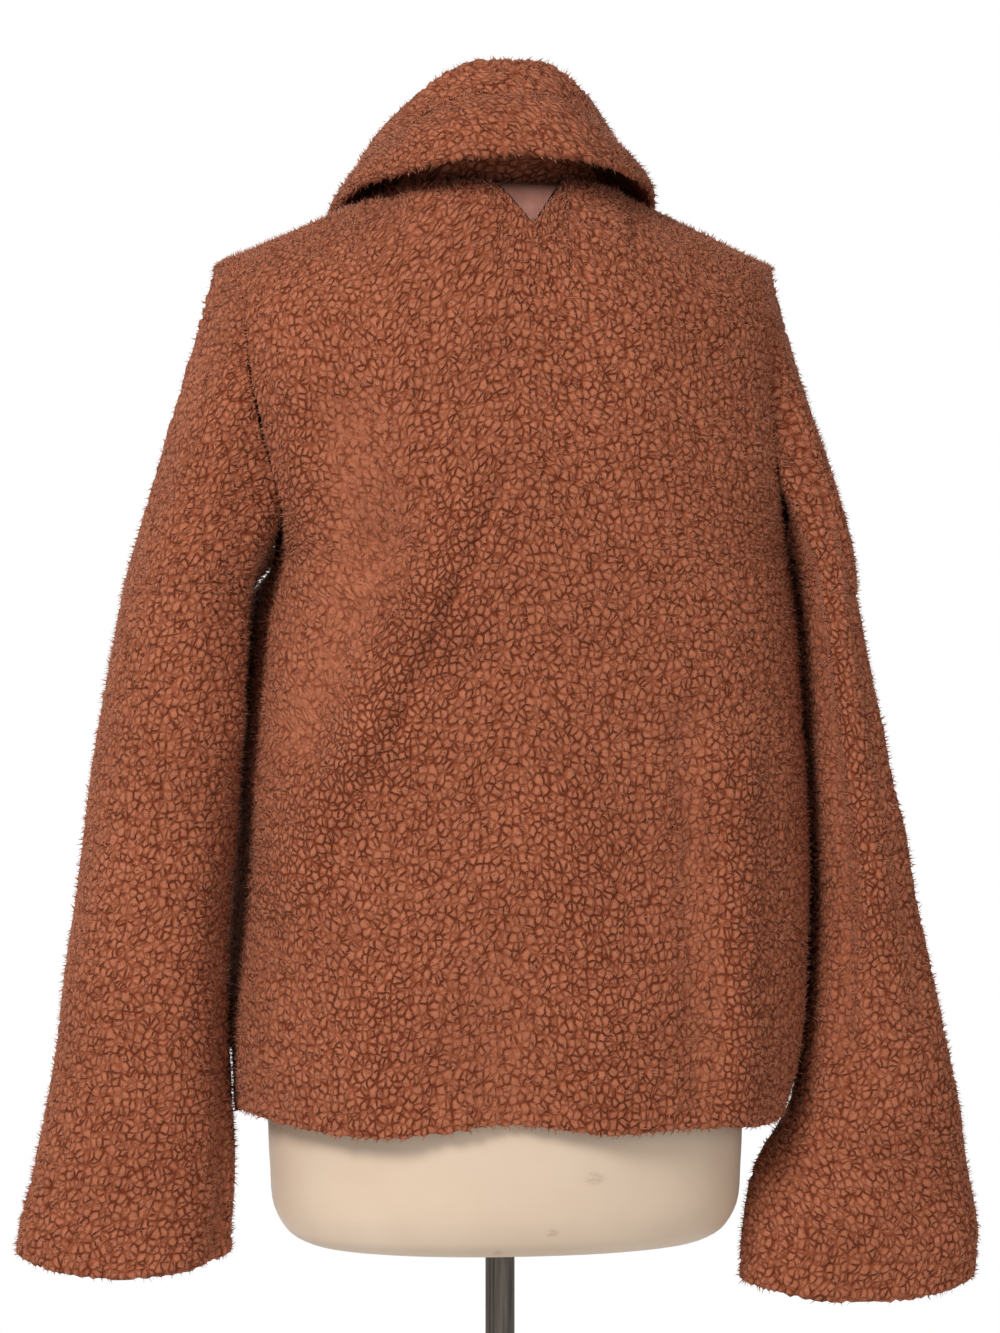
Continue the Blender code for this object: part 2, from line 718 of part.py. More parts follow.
for old in list(bpy.data.objects):
    bpy.data.objects.remove(old, do_unlink=True)
PARTS = bpy.data.collections.new("sherpa_jacket")
bpy.context.scene.collection.children.link(PARTS)

LEVELS = body_levels(SIDE_ROWS, ARM_ROWS, TOP_ROWS)
EDGES = make_body(LEVELS, BACK_COLUMNS)
for side, rings in (("left", SLEEVE_LEFT), ("right", SLEEVE_RIGHT)):
    loops = armhole_loop(EDGES[side + "_back"], EDGES[side + "_front"], SIDE_ROWS)
    make_sleeve("sleeve_" + side, rings, loops, SLEEVE_CAPS[side])
make_collar(COLLAR_TURNS, COLLAR_STEPS)
make_patch(PATCH_CELLS)
make_form(FORM_SIDES)
make_pole()
make_foot()
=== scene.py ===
"""Looks of the sherpa jacket on its dress form: fine pile, nape patch, form
cover and steel stand, with the studio floor, lights and camera.

The cloth follows the same named sizes as the solids, in millimetres, on a
fine grid, and MM turns them into metres when a mesh is made.
"""

import json
import math

import bmesh
import bpy
import numpy as np
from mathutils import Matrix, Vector

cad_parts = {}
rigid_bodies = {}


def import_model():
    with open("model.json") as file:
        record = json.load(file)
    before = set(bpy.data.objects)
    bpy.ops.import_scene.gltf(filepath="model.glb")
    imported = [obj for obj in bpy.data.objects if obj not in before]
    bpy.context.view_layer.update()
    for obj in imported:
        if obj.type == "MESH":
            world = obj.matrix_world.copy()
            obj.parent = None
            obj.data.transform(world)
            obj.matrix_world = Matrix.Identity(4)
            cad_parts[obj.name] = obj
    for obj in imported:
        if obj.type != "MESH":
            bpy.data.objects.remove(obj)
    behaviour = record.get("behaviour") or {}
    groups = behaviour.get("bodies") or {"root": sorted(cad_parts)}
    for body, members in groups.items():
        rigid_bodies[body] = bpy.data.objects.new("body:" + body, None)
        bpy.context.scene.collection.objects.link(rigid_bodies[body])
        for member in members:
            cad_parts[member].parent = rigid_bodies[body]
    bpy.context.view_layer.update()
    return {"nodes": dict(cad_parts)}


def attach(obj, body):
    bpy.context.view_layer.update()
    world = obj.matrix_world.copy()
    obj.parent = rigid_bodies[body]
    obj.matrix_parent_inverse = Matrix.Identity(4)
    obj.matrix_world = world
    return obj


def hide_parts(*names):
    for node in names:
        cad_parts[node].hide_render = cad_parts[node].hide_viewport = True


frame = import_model()

MM = 0.001
SEED = 11

# The fine grid of the cloth: distance between its points, the lining's share,
# rows and columns, places near an edge, and how its even spacing is measured
STEP = 2.4
LINING_EVERY = 6
CAP_GRID_ROWS = 82
SLEEVE_GRID_ROWS = 190
SLEEVE_GRID_COLUMNS = 156
EDGE_SPACING = (0.0, 0.12, 0.45, 0.95, 1.6)
DENSE = 1201
LEVEL_ANGLE = math.radians(62)

# The pile: cell size, relief and how it is drawn
PEBBLE = 4.9
PEBBLE_STRETCH = 0.86
PEBBLE_JITTER = 0.95
WARPS = ((14.0, 4.0), (4.5, 1.9))
CRACK_WIDTH = 0.22
DOME_FALL = 0.85
CLUSTER = 14.0
CLUSTER_CRACK = 0.10
CLUSTER_LOW = 0.35
VARY_SIZE = 7.0
VARY_RANGE = (0.32, 0.68)
DEPTH_LEAST = 0.2
CRACK_LEAST = 0.55
RIDGE_CRACK = 0.3
RELIEF = 2.1
SINK = 1.4
CURL_SCALE = 650.0
CURL_COLOUR = 0.62
CURL_RELIEF = 0.35
BUMP_REACH = 1.5
DRIFT_SCALE = 14.0
CHART_APART = 900.0

# Sewn edges: how tightly they close, how far they lap and where the pile is short
SEAM_RADIUS = 1.4
SEAM_TUCK = 1.1
SEAM_PILE = 0.6
SEAM_REACH = 4.0

# The tips that stand out of the pile
TIP_AREA = 13.0
TIP_LENGTH = (2.4, 4.8)
TIP_RADIUS = (0.24, 0.8)
TIP_LEAN = 0.75
TIP_SPREAD = 0.45
TIP_DEPTH = 0.7
TIP_LOWEST = 35
FLOW_LENGTHS = (22.0, 34.0, 61.0)


def table(names, rows):
    """A table as columns of numbers by name; the first column is looked up."""
    return dict(zip(names, np.array(rows, float).T))


# Cloth: knit backing with its pile, and the gap kept at a seam
WALL = 7.0
COLLAR_WALL = 8.0
PATCH_WALL = 2.0
PATCH_SET = 2.5
SEAM_GAP = 0.3
ARMHOLE_GAP = 0.8
LAP_GAP = 1.4
TIP_GAP = 0.8

# Heights of the jacket on its stand
HEM = 645.0
YOKE = 1165.0
NECK_POINT = 1261.0

# The top of the body: shoulder seams and neckline
SHOULDER_LEFT = 191.0
SHOULDER_RIGHT = 185.0
SHOULDER_SLOPE = 0.45
NECK_HALF = 75.0
NECK_BACK = 80.0
NECK_FRONT = 72.0
NECK_BACK_DROP = 2.0
NECK_FRONT_DROP = 49.0

# Sections of the body: how far it reaches from the pole's axis each way
BODY = table(("height", "left", "right", "back", "front"), [
    (640, 177, 188, 123, 122),
    (680, 178, 200, 122, 123),
    (760, 171, 207, 117, 122),
    (830, 166, 208, 113, 121),
    (900, 165, 204, 113, 123),
    (970, 159, 199, 117, 128),
    (1025, 151, 192, 120, 131),
    (1075, 170, 191, 121, 127),
    (1130, 188, 188, 119, 117),
    (1165, 192, 187, 115, 107),
])
SECTION_POWER = 0.84
SECTION_HALF_WIDTH = 190.0
SECTION_HALF_DEPTH = 118.0

# The armhole's edge, as an angle round the body from the side, at each level
ARMHOLE = table(("level", "angle"), [
    (0.706, 0.0),
    (0.725, 8.0),
    (0.760, 16.0),
    (0.820, 22.0),
    (0.900, 25.5),
    (1.000, 26.0),
    (1.400, 22.0),
    (1.750, 13.0),
    (2.000, 3.0),
])

# Folds of the back and fronts: a line from x, z to x, z, its width and its rise
BACK_FOLDS = (
    (34, 1040, 61, 972, 20, 7),
    (61, 972, 99, 896, 22, 10),
    (99, 896, 150, 800, 22, 9),
    (104, 1100, 96, 1020, 22, -7),
    (96, 1020, 138, 900, 18, -8),
    (146, 1120, 142, 1030, 11, 5),
    (-110, 905, -118, 665, 13, -5),
    (-145, 880, -146, 660, 17, 6),
    (-30, 850, -62, 650, 26, 4),
    (22, 740, 12, 640, 20, -4),
    (98, 730, 96, 640, 26, 4),
    (14, 1062, 46, 985, 6, -4),
    (46, 985, 80, 905, 6, -4.5),
    (80, 905, 120, 818, 7, -3),
    (-128, 850, -131, 670, 5, -3),
    (118, 1110, 112, 1010, 7, -3),
    (52, 700, 60, 646, 8, -2),
)
FRONT_FOLDS = (
    (70, 1020, 92, 800, 24, 6),
    (118, 1000, 132, 700, 18, -6),
    (-76, 1010, -104, 780, 24, 6),
    (-122, 960, -136, 690, 18, -5),
    (-48, 800, -52, 640, 22, 4),
    (44, 820, 48, 640, 22, -3),
    (52, 1010, 74, 850, 6, -4),
    (-60, 1000, -84, 850, 6, -3.5),
    (104, 760, 110, 650, 8, -3),
)

# Folds fade in past this share of the depth, over that much more of it
FOLD_START = 0.15625
FOLD_FADE = 0.625

# Waves of the hem: x, width and drop, and how much of them the fronts have
HEM_FRONT = 0.6
HEM_WAVES = ((178, 26, -6.0), (95, 45, 4.5), (10, 34, -4.0), (-60, 40, 4.0), (-160, 40, 5.0))

# The left front swells out beside the sleeve: how far, where and over what height
SWELL_OUT = 16.0
SWELL_ANGLE = math.radians(-20)
SWELL_WIDTH = math.radians(15)
SWELL_LOW = (676.0, 30.0)
SWELL_HIGH = (1014.0, 24.0)

# The lapped front: how far the wearer's left front passes the middle
LAP = 22.0
LAP_EASE = 26.0
LAP_MARGIN = 9.0

# The notch at the nape that holds the patch
NOTCH_X = -7.0
NOTCH_HALF = 24.0
NOTCH_DEPTH = 30.0
PATCH_TIP = 0.06
PATCH_MARGIN = 3.6
PATCH_EASE = 0.8

# Sleeves below the upper arm: centre, half width and half depth at heights
SLEEVE_LEFT = table(("height", "centre_x", "centre_y", "half_x", "half_y"), [
    (990, 209, 0, 43, 66),
    (929, 216, -2, 47, 64),
    (875, 223, -3, 49, 62),
    (833, 227, -3, 50, 61),
    (786, 232, -3, 51, 60),
    (746, 236, -3, 53, 59),
    (679, 239, -3, 58, 55),
    (612, 244, -3, 66, 48),
    (562, 250, -3, 70, 44),
    (543, 251, -3, 71, 43),
])
SLEEVE_RIGHT = table(("height", "centre_x", "centre_y", "half_x", "half_y"), [
    (990, -217.5, -4, 18, 84),
    (929, -226.5, -4, 22, 82),
    (875, -233, -2, 24.5, 80),
    (833, -239.5, 2, 28.5, 78),
    (786, -244, 6, 32, 75),
    (746, -248, 10, 37.5, 71),
    (679, -252, 14, 49.5, 62),
    (645, -252, 16, 57, 55),
    (612, -244, 16, 70, 47),
    (562, -243, 16, 80, 40),
    (519, -241, 16, 80, 38),
])

# The cuff's edge rises at its sides
CUFF_LIFT = 11.0
CUFF_REACH = 70.0

# Sleeve heads: how far each swells sideways, leaves, lands and tucks in
UNDERARM_REACH = 30.0
CREST_FALL = 0.45
HEAD_OUT = 0.35
UNDERARM_OUT = 0.45
HEAD_FALL = 1.1
RING_BELOW = 20.0
SLEEVE_POWER = 0.9
SLEEVE_CAPS = {"left": (0.6, 95.0, 90.0, 0.0), "right": (1.6, 125.0, 165.0, 0.34)}

# The collar: its roll and its outer edge, by turns from the middle of the back
COLLAR = table(("turn", "roll_x", "roll_y", "roll_z", "edge_x", "edge_y", "edge_z"), [
    (0, 0, 86, 1329, 0, 119, 1270),
    (30, 26, 82, 1327, 40, 115, 1266),
    (60, 53, 60, 1309, 71, 86, 1260),
    (90, 74, 14, 1286, 95, 24, 1256),
    (120, 74, -42, 1268, 105, -62, 1237),
    (150, 50, -78, 1251, 92, -113, 1188),
    (172, 14, -92, 1241, 64, -123, 1162),
])
ROLL_RADIUS = 12.0
STAND_GAP = 0.36
STAND_LIFT = 2.8
STAND_FRONT = 1.3
STAND_EASE = 0.35
COLLAR_END = 172.0
COLLAR_SET = 7.0
SET_BELOW = 20.0
SET_EASE = 50.0

# The crease across the collar's fall, between its two rolls
CREASE_PLACE = 30.0
CREASE_WIDTH = 8.0
CREASE_DEPTH = 6.0
BELLY = 8.0

# The dress form: half width, back depth and front depth at heights
FORM_BOTTOM = 558.0
FORM = table(("height", "half", "back", "front"), [
    (558, 118, 74, 70),
    (561, 134, 86, 82),
    (569, 147, 97, 92),
    (583, 155, 104, 98),
    (612, 158, 107, 101),
    (690, 157, 107, 100),
    (770, 143, 97, 92),
    (850, 125, 82, 84),
    (920, 127, 84, 90),
    (990, 138, 92, 104),
    (1050, 146, 98, 112),
    (1110, 150, 100, 104),
    (1155, 152, 92, 88),
    (1185, 152, 82, 74),
])
FORM_POWER = 0.9
FORM_LEAN = -4.0
FORM_SHOULDER = 146.0
FORM_NECK_BASE = 88.0
FORM_SEAT = 0.45
FORM_NECK = 50.0
FORM_NECK_TOP = 1286.0

# The form's rings from its shoulders to its neck: rise, half width, back and front
FORM_NECK_RINGS = (
    (1, 72, 52, 36),
    (4, 62, 52, 38),
    (10, 57, 52, 43),
    (24, FORM_NECK, FORM_NECK, FORM_NECK),
)

# The colour sockets of a mix node, by place
MIX_AMOUNT = 0
MIX_FIRST = 6
MIX_SECOND = 7
MIX_RESULT = 2

# The height of a fold at which the pile cracks deepest, in the mesh and in the painted shade of its cracks
RIDGE_RISE = 8.0

# Long creases of the sleeves: degrees round from the outside, height, to the same, width and rise
SLEEVE_FOLDS = {
    "left": ((128, 1080, 140, 900, 13, 4), (158, 1100, 162, 930, 12, -5), (150, 720, 146, 545, 8, -5),
             (120, 800, 118, 560, 16, 3), (250, 1000, 244, 700, 20, 4), (290, 900, 280, 600, 18, -3)),
    "right": ((118, 1100, 100, 760, 11, 6), (140, 1080, 132, 700, 12, -5), (80, 1050, 62, 720, 14, -4),
              (46, 900, 40, 560, 18, 3), (250, 1000, 240, 700, 20, 4), (290, 900, 280, 600, 18, -3)),
}

COLLAR_GRID_TURNS = 252
COLLAR_GRID_STEPS = 72
PATCH_GRID = 24
SHARP_ANGLE = math.radians(50)
FORM_GRID_ROWS = 150
FORM_GRID_SIDES = 128

# Colours of the pile from its cracks to its tops, with painted shade in the cracks and a painted highlight
# on the tops, and of its fibre ends
PILE_COLOURS_WITH_PAINTED_SHADE_AND_HIGHLIGHT = (
    (0.0, (0.135, 0.025, 0.007)),
    (0.35, (0.25, 0.064, 0.028)),
    (0.7, (0.345, 0.106, 0.051)),
    (1.0, (0.43, 0.146, 0.076)),
)
TIP_COLOURS = ((0.3, (0.32, 0.096, 0.045)), (0.7, (0.46, 0.166, 0.090)))

PATCH_COLOURS = ((0.3, (0.235, 0.095, 0.07)), (0.7, (0.32, 0.14, 0.105)))
COVER_COLOURS = ((0.3, (0.60, 0.45, 0.325)), (0.7, (0.67, 0.52, 0.39)))
STEEL_COLOURS = ((0.3, (0.10, 0.085, 0.07)), (0.7, (0.21, 0.185, 0.16)))
SCUFF_COLOUR = (0.42, 0.30, 0.22, 1)

# How fine each look's noise is, in waves a metre
TIP_MOTTLE = 160.0
PATCH_GRAIN = 1500.0
PATCH_CLOUD = 90.0
COVER_CLOUD = 9.0
COVER_KNIT = 1400.0
COVER_MARKS = 55.0
STEEL_LINES = 700.0

# Faint marks on the form's cover: their depth behind the pole, and each one's x, height and radius
SCUFF_BACK = 100.0
SCUFFS = ((-47, 612, 9), (-20, 577, 6), (60, 566, 5), (-100, 566, 6), (14, 563, 5))

# Lights: place, size and power; how much the white surround lights
LIGHT_AIM = 0.95
LIGHTS = (
    ("key", 1.9, 2.4, 2.5, 1.1, 92.0),
    ("fill", -1.6, 2.8, 1.7, 1.8, 20.0),
    ("front_key", -1.3, -3.0, 2.4, 1.6, 45.0),
    ("front_fill", 1.6, -2.8, 1.7, 1.8, 24.0),
)
SURROUND = 0.36
FLOOR_RADIUS = 2.4

CAMERA_TURN = math.radians(8.0)
CAMERA_AWAY = 2.7
CAMERA_HEIGHT = 0.943
CAMERA_LENS = 108.8


def run_weights(part):
    """Weights of a smooth run's start, start slope, end and end slope."""
    return ((1 + 2 * part) * (1 - part) ** 2, part * (1 - part) ** 2,
            part ** 2 * (3 - 2 * part), part ** 2 * (part - 1))


def read(rows, column, at):
    """Read one column of a table at places between its rows, smoothly."""
    knots = next(iter(rows.values()))
    values = rows[column]
    if knots[0] > knots[-1]:
        knots = knots[::-1]
        values = values[::-1]
    slopes = np.gradient(values, knots)
    at = np.clip(at, knots[0], knots[-1])
    cell = np.clip(np.searchsorted(knots, at) - 1, 0, len(knots) - 2)
    width = knots[cell + 1] - knots[cell]
    start, start_slope, end, end_slope = run_weights((at - knots[cell]) / width)
    return (start * values[cell] + start_slope * width * slopes[cell]
            + end * values[cell + 1] + end_slope * width * slopes[cell + 1])


def unit(vectors):
    """Scale vectors to length one."""
    length = np.linalg.norm(vectors, axis=-1, keepdims=True)
    return vectors / np.maximum(length, 1e-9)


def signed_power(value, power):
    """Raise to a power, keeping the sign: the corners of a section."""
    return np.sign(value) * np.abs(value) ** power


def smooth_step(value):
    """Ease from nought to one."""
    part = np.clip(value, 0, 1)
    return part * part * (3 - 2 * part)


def run_along(points):
    """Distance along a line of points from its first one."""
    steps = np.linalg.norm(np.diff(points, axis=0), axis=1)
    return np.insert(np.cumsum(steps), 0, 0)


def fold_rise(folds, x, z):
    """How far the folds lift the cloth at a place on a panel."""
    rise = np.zeros(np.broadcast(x, z).shape)
    for x0, z0, x1, z1, width, height in folds:
        run = np.array((x1 - x0, z1 - z0), float)
        length = np.hypot(*run)
        along = ((x - x0) * run[0] + (z - z0) * run[1]) / length ** 2
        nearest = np.clip(along, 0, 1)
        away = np.hypot(x - x0 - nearest * run[0], z - z0 - nearest * run[1])
        rise = rise + height * np.exp(-(away / width) ** 2)
    return rise


def body_point(angle, level):
    """The body's outer surface: angle from the left side through the back,
    level 0 at the hem, 1 at the yoke and 2 at the shoulder and neck."""
    angle, level = np.broadcast_arrays(np.asarray(angle, float), np.asarray(level, float))
    low = np.clip(level, 0, 1)
    rise = np.clip(level - 1, 0, 1) * math.pi / 2
    height = HEM + low * (YOKE - HEM)
    left, right, back, front = (read(BODY, side, height)
                                for side in ("left", "right", "back", "front"))
    left = left + (SHOULDER_LEFT - left) * np.sin(rise)
    right = right + (SHOULDER_RIGHT - right) * np.sin(rise)
    across = signed_power(np.cos(angle), SECTION_POWER)
    along = signed_power(np.sin(angle), SECTION_POWER)
    behind = np.sin(angle) >= 0
    x = np.where(across > 0, left, right) * across
    y_low = np.where(behind, back, front) * along
    neck = np.clip(1 - (x / NECK_HALF) ** 2, 0, 1)
    y_top = np.where(behind, NECK_BACK, -NECK_FRONT) * np.sqrt(neck)
    slope_drop = SHOULDER_SLOPE * np.maximum(np.abs(x) - NECK_HALF, 0)
    z_top = NECK_POINT - slope_drop - np.where(behind, NECK_BACK_DROP, NECK_FRONT_DROP) * neck
    y = y_low * np.cos(rise) + y_top * (1 - np.cos(rise))
    z = height + (z_top - YOKE) * np.sin(rise)
    lift = np.where(behind, fold_rise(BACK_FOLDS, x, z), fold_rise(FRONT_FOLDS, x, z))
    lift = lift * smooth_step((np.abs(along) - FOLD_START) / FOLD_FADE)
    beside = np.mod(angle - SWELL_ANGLE + math.pi, 2 * math.pi) - math.pi
    swell = (SWELL_OUT * np.exp(-(beside / SWELL_WIDTH) ** 2)
             * smooth_step((z - SWELL_LOW[0]) / SWELL_LOW[1])
             * smooth_step((SWELL_HIGH[0] - z) / SWELL_HIGH[1]))
    lift = lift + swell
    out = unit(np.stack((across / SECTION_HALF_WIDTH, along / SECTION_HALF_DEPTH), axis=-1))
    x = x + out[..., 0] * lift
    y = y + out[..., 1] * lift
    wave = np.zeros(x.shape)
    for wave_x, width, drop in HEM_WAVES:
        wave = wave + drop * np.exp(-((x - wave_x) / width) ** 2)
    z = z - wave * (1 - low) ** 3 * np.where(behind, 1.0, HEM_FRONT)
    return np.stack((x, y, z), axis=-1)


def body_normal(angle, level):
    """The outward direction of the body's surface."""
    step = 0.004
    level = np.asarray(level, float)
    upper = np.minimum(level + step, 2)
    lower = np.maximum(level - step, 0)
    around = body_point(angle + step, level) - body_point(angle - step, level)
    up = body_point(angle, upper) - body_point(angle, lower)
    return unit(np.cross(around, up))


def armhole_angle(level):
    """The armhole's edge in radians from the side."""
    degrees = read(ARMHOLE, "angle", level)
    return np.radians(np.where(level <= ARMHOLE["level"][0], 0, np.maximum(degrees, 0)))


def notch_levels(angle, level):
    """Lower the top rows of the back where the notch is cut."""
    x = body_point(angle, level)[..., 0]
    dip = NOTCH_DEPTH * np.clip(1 - np.abs(x - NOTCH_X) / NOTCH_HALF, 0, 1)
    full = NECK_POINT - NECK_BACK_DROP - YOKE
    top = 1 + np.arcsin((full - dip) / full) / (math.pi / 2)
    return np.where(level > 1, 1 + (level - 1) * (top - 1), level)


def sleeve_ring(rings, height, phase):
    """One ring of a sleeve; phase runs from the outside over the back."""
    centre_x, centre_y, half_x, half_y = (read(rings, column, height) for column
                                          in ("centre_x", "centre_y", "half_x", "half_y"))
    side = np.sign(rings["centre_x"][0])
    x = centre_x + side * half_x * signed_power(np.cos(phase), SLEEVE_POWER)
    y = centre_y + half_y * signed_power(np.sin(phase), SLEEVE_POWER)
    near_cuff = smooth_step(1 - (height - rings["height"][-1]) / CUFF_REACH)
    z = height + CUFF_LIFT * near_cuff * np.cos(phase) ** 2
    return np.stack((x, y, z), axis=-1)


def sleeve_grid(rings, loop_outer, loop_inner, cap_rows, rows, cap):
    """The outer points of a sleeve from its armhole to its cuff, and the
    inner points at the armhole."""
    top, cuff = rings["height"][0], rings["height"][-1]
    side = np.sign(rings["centre_x"][0])
    swell, cap_reach, cap_land, tuck = cap
    run = np.linalg.norm(np.roll(loop_outer, -1, axis=0) - loop_outer, axis=1)
    phase = 2 * math.pi * np.concatenate(((0,), np.cumsum(run)))[:-1] / run.sum()
    drop = (1 - np.cos(phase)) / 2
    tangent = np.roll(loop_outer, -1, axis=0) - np.roll(loop_outer, 1, axis=0)
    facing = unit(loop_outer - loop_inner)
    across = unit(np.cross(tangent, facing)) * side
    away = unit(facing * (HEAD_OUT + UNDERARM_OUT * drop)[:, None]
                + across * (swell * (1 - drop))[:, None] - np.array((0, 0, HEAD_FALL)))
    reach = cap_reach + (UNDERARM_REACH - cap_reach) * drop
    beside = across * ARMHOLE_GAP
    crest = np.maximum(np.cos(phase), 0)[:, None] ** 8 * (side, 0, -CREST_FALL) * TIP_GAP
    start = loop_outer + beside + crest
    start_inner = loop_inner + beside + crest
    first = sleeve_ring(rings, top, phase)
    second = sleeve_ring(rings, top - RING_BELOW, phase)
    down = unit(unit(second - first) - (tuck * (1 - drop))[:, None] * np.array((side, 0, 0)))
    land = cap_land + (UNDERARM_REACH - cap_land) * drop
    grid = []
    for part in np.linspace(0, 1, cap_rows + 1)[:-1]:
        leave, leave_slope, arrive, arrive_slope = run_weights(part)
        grid.append(leave * start + (leave_slope * reach)[:, None] * away
                    + arrive * first + (arrive_slope * land)[:, None] * down)
    for height in np.linspace(top, cuff, rows + 1):
        grid.append(sleeve_ring(rings, height, phase))
    return np.array(grid), start_inner


def neck_edge(turn):
    """The neckline at a turn from the middle of the back."""
    behind = np.cos(turn) >= 0
    x = NECK_HALF * np.sin(turn)
    y = np.where(behind, NECK_BACK, NECK_FRONT) * np.cos(turn)
    neck = 1 - (x / NECK_HALF) ** 2
    drop = np.where(behind, NECK_BACK_DROP, NECK_FRONT_DROP) * neck
    return np.stack((x, y, NECK_POINT - drop), axis=-1)


def collar_path(turn, steps):
    """The collar's face at one turn, up the stand, over the roll and down."""
    mirror = 1 if turn >= 0 else -1
    degrees = abs(math.degrees(turn))
    roll = np.array([read(COLLAR, "roll_" + axis, degrees) for axis in "xyz"])
    edge = np.array([read(COLLAR, "edge_" + axis, degrees) for axis in "xyz"])
    base = neck_edge(np.array(abs(turn)))
    outward = unit(np.array((base[0] / NECK_HALF ** 2, base[1] / NECK_BACK ** 2, 0)))
    front = smooth_step((abs(turn) - STAND_FRONT) / STAND_EASE)
    base = base - outward * COLLAR_WALL / 2 + (0, 0, STAND_GAP + STAND_LIFT * front)
    lean = unit((edge - base) * (1, 1, 0))
    drop = np.array((0, 0, ROLL_RADIUS))
    inside = roll - lean * ROLL_RADIUS - drop
    outside = roll + lean * ROLL_RADIUS - drop
    belly = outside * 0.5 + edge * 0.5 + lean * BELLY
    knots = np.array((base, base * 0.5 + inside * 0.5, inside, roll, outside, belly, edge))
    run = run_along(knots)
    at = np.linspace(0, run[-1], steps + 1)
    path = np.stack([read({"run": run, "place": knots[:, axis]}, "place", at)
                     for axis in (0, 1, 2)], axis=-1)
    past_roll = at - run[3] - CREASE_PLACE
    path = path - lean * (CREASE_DEPTH * np.exp(-(past_roll / CREASE_WIDTH) ** 2))[:, None]
    shift = COLLAR_SET * smooth_step((path[:, 2] - NECK_POINT + SET_BELOW) / SET_EASE)
    return path * (mirror, 1, 1) + shift[:, None] * (1, 0, 0)


def patch_grid(cells):
    """The outer points of the patch, from its tip to its top edge."""
    full = NECK_POINT - NECK_BACK_DROP - YOKE
    grid = []
    for row in np.linspace(PATCH_TIP, 1, cells + 1):
        half = (NOTCH_HALF - PATCH_MARGIN) * row - PATCH_EASE
        x = NOTCH_X + np.linspace(half, -half, cells + 1)
        reach = np.where(x > 0, SHOULDER_LEFT, SHOULDER_RIGHT)
        angle = np.arccos(signed_power(x / reach, 1 / SECTION_POWER))
        height = full - NOTCH_DEPTH * (1 - row) - SEAM_GAP
        level = 1 + np.arcsin(height / full) / (math.pi / 2)
        place = np.full(x.shape, level)
        grid.append(body_point(angle, place) - body_normal(angle, place) * PATCH_SET)
    return np.array(grid)


def form_rings():
    """Heights and half sizes of the form, with its shoulders and neck."""
    rings = list(zip(*FORM.values()))
    seat = NECK_POINT - WALL / math.cos(math.atan(SHOULDER_SLOPE)) - FORM_SEAT
    for half in np.linspace(FORM_SHOULDER, FORM_NECK_BASE, 5):
        height = seat - SHOULDER_SLOPE * (half - NECK_HALF)
        rings.append((height, half, *FORM_NECK_RINGS[0][2:]))
    base = rings[-1][0]
    for rise, half, back, front in FORM_NECK_RINGS:
        rings.append((base + rise, half, back, front))
    rings.append((FORM_NECK_TOP, FORM_NECK, FORM_NECK, FORM_NECK))
    return rings


def grid_faces(rows, columns, closed):
    """Quads of a grid of points, row by row."""
    faces = []
    for start in range(0, (rows - 1) * columns, columns):
        for column in range(columns if closed else columns - 1):
            after = (column + 1) % columns
            faces.append((start + column, start + after,
                          start + columns + after, start + columns + column))
    return faces


def resample(loop, count):
    """Points an even distance apart round a closed loop."""
    ring = np.concatenate((loop, loop[:1]))
    run = run_along(ring)
    at = np.linspace(0, run[-1], count + 1)[:-1]
    return np.stack([np.interp(at, run, ring[:, axis]) for axis in range(3)], axis=-1)


def spaced(count, length):
    """Places from nought to one, evenly apart but closer at both ends."""
    ends = np.array(EDGE_SPACING) / length
    middle = np.linspace(ends[-1], 1 - ends[-1], count)
    return np.concatenate((ends[:-1], middle, 1 - ends[-2::-1]))


def fine_levels():
    """Levels of the body's rows, evenly apart up the side of the back."""
    dense = np.linspace(0, 2, DENSE)
    points = body_point(LEVEL_ANGLE, dense)
    run = run_along(points)
    return np.interp(spaced(int(run[-1] / STEP), run[-1]) * run[-1], run, dense)


def fine_panel(first, last, levels, first_arm, last_arm, side, notch=False):
    """The outer points of a body panel on the fine grid."""
    dense = np.linspace(first, last, DENSE)
    points = body_point(dense, 0.5)[:, :2]
    run = run_along(points)
    places = spaced(int(run[-1] / STEP), run[-1]) * run[-1]
    spread = (np.interp(places, run, dense) - first) / (last - first)
    level = np.repeat(levels[:, None], len(spread), axis=1)
    start = first + (armhole_angle(level) if first_arm else 0)
    end = last - (armhole_angle(level) if last_arm else 0)
    angle = start + (end - start) * spread[None, :]
    if notch:
        level = notch_levels(angle, level)
    grid = body_point(angle, level)
    grid[..., 1] = side * np.maximum(side * grid[..., 1], SEAM_GAP / 2)
    folds = BACK_FOLDS if side > 0 else FRONT_FOLDS
    ridge = np.clip(fold_rise(folds, grid[..., 0], grid[..., 2]) / RIDGE_RISE, -1, 1)
    return grid, ridge


def grid_frame(grid, facing, closed):
    """Tangents along rows and columns, and the outward direction."""
    along = np.gradient(grid, axis=0)
    if closed:
        across = (np.roll(grid, -1, axis=1) - np.roll(grid, 1, axis=1)) / 2
    else:
        across = np.gradient(grid, axis=1)
    return along, across, unit(np.cross(across, along)) * facing


def arc_run(grid, axis):
    """Distance along a grid from its first row or column."""
    steps = np.linalg.norm(np.diff(grid, axis=axis), axis=-1)
    return np.insert(np.cumsum(steps, axis=axis), 0, 0, axis=axis)


def edge_distances(grid, closed):
    """How far each point of a grid is from each edge of its piece."""
    down = arc_run(grid, 0)
    edges = {"first_row": down, "last_row": down[-1:] - down}
    if not closed:
        over = arc_run(grid, 1)
        edges["first_column"] = over
        edges["last_column"] = over[:, -1:] - over
    return edges


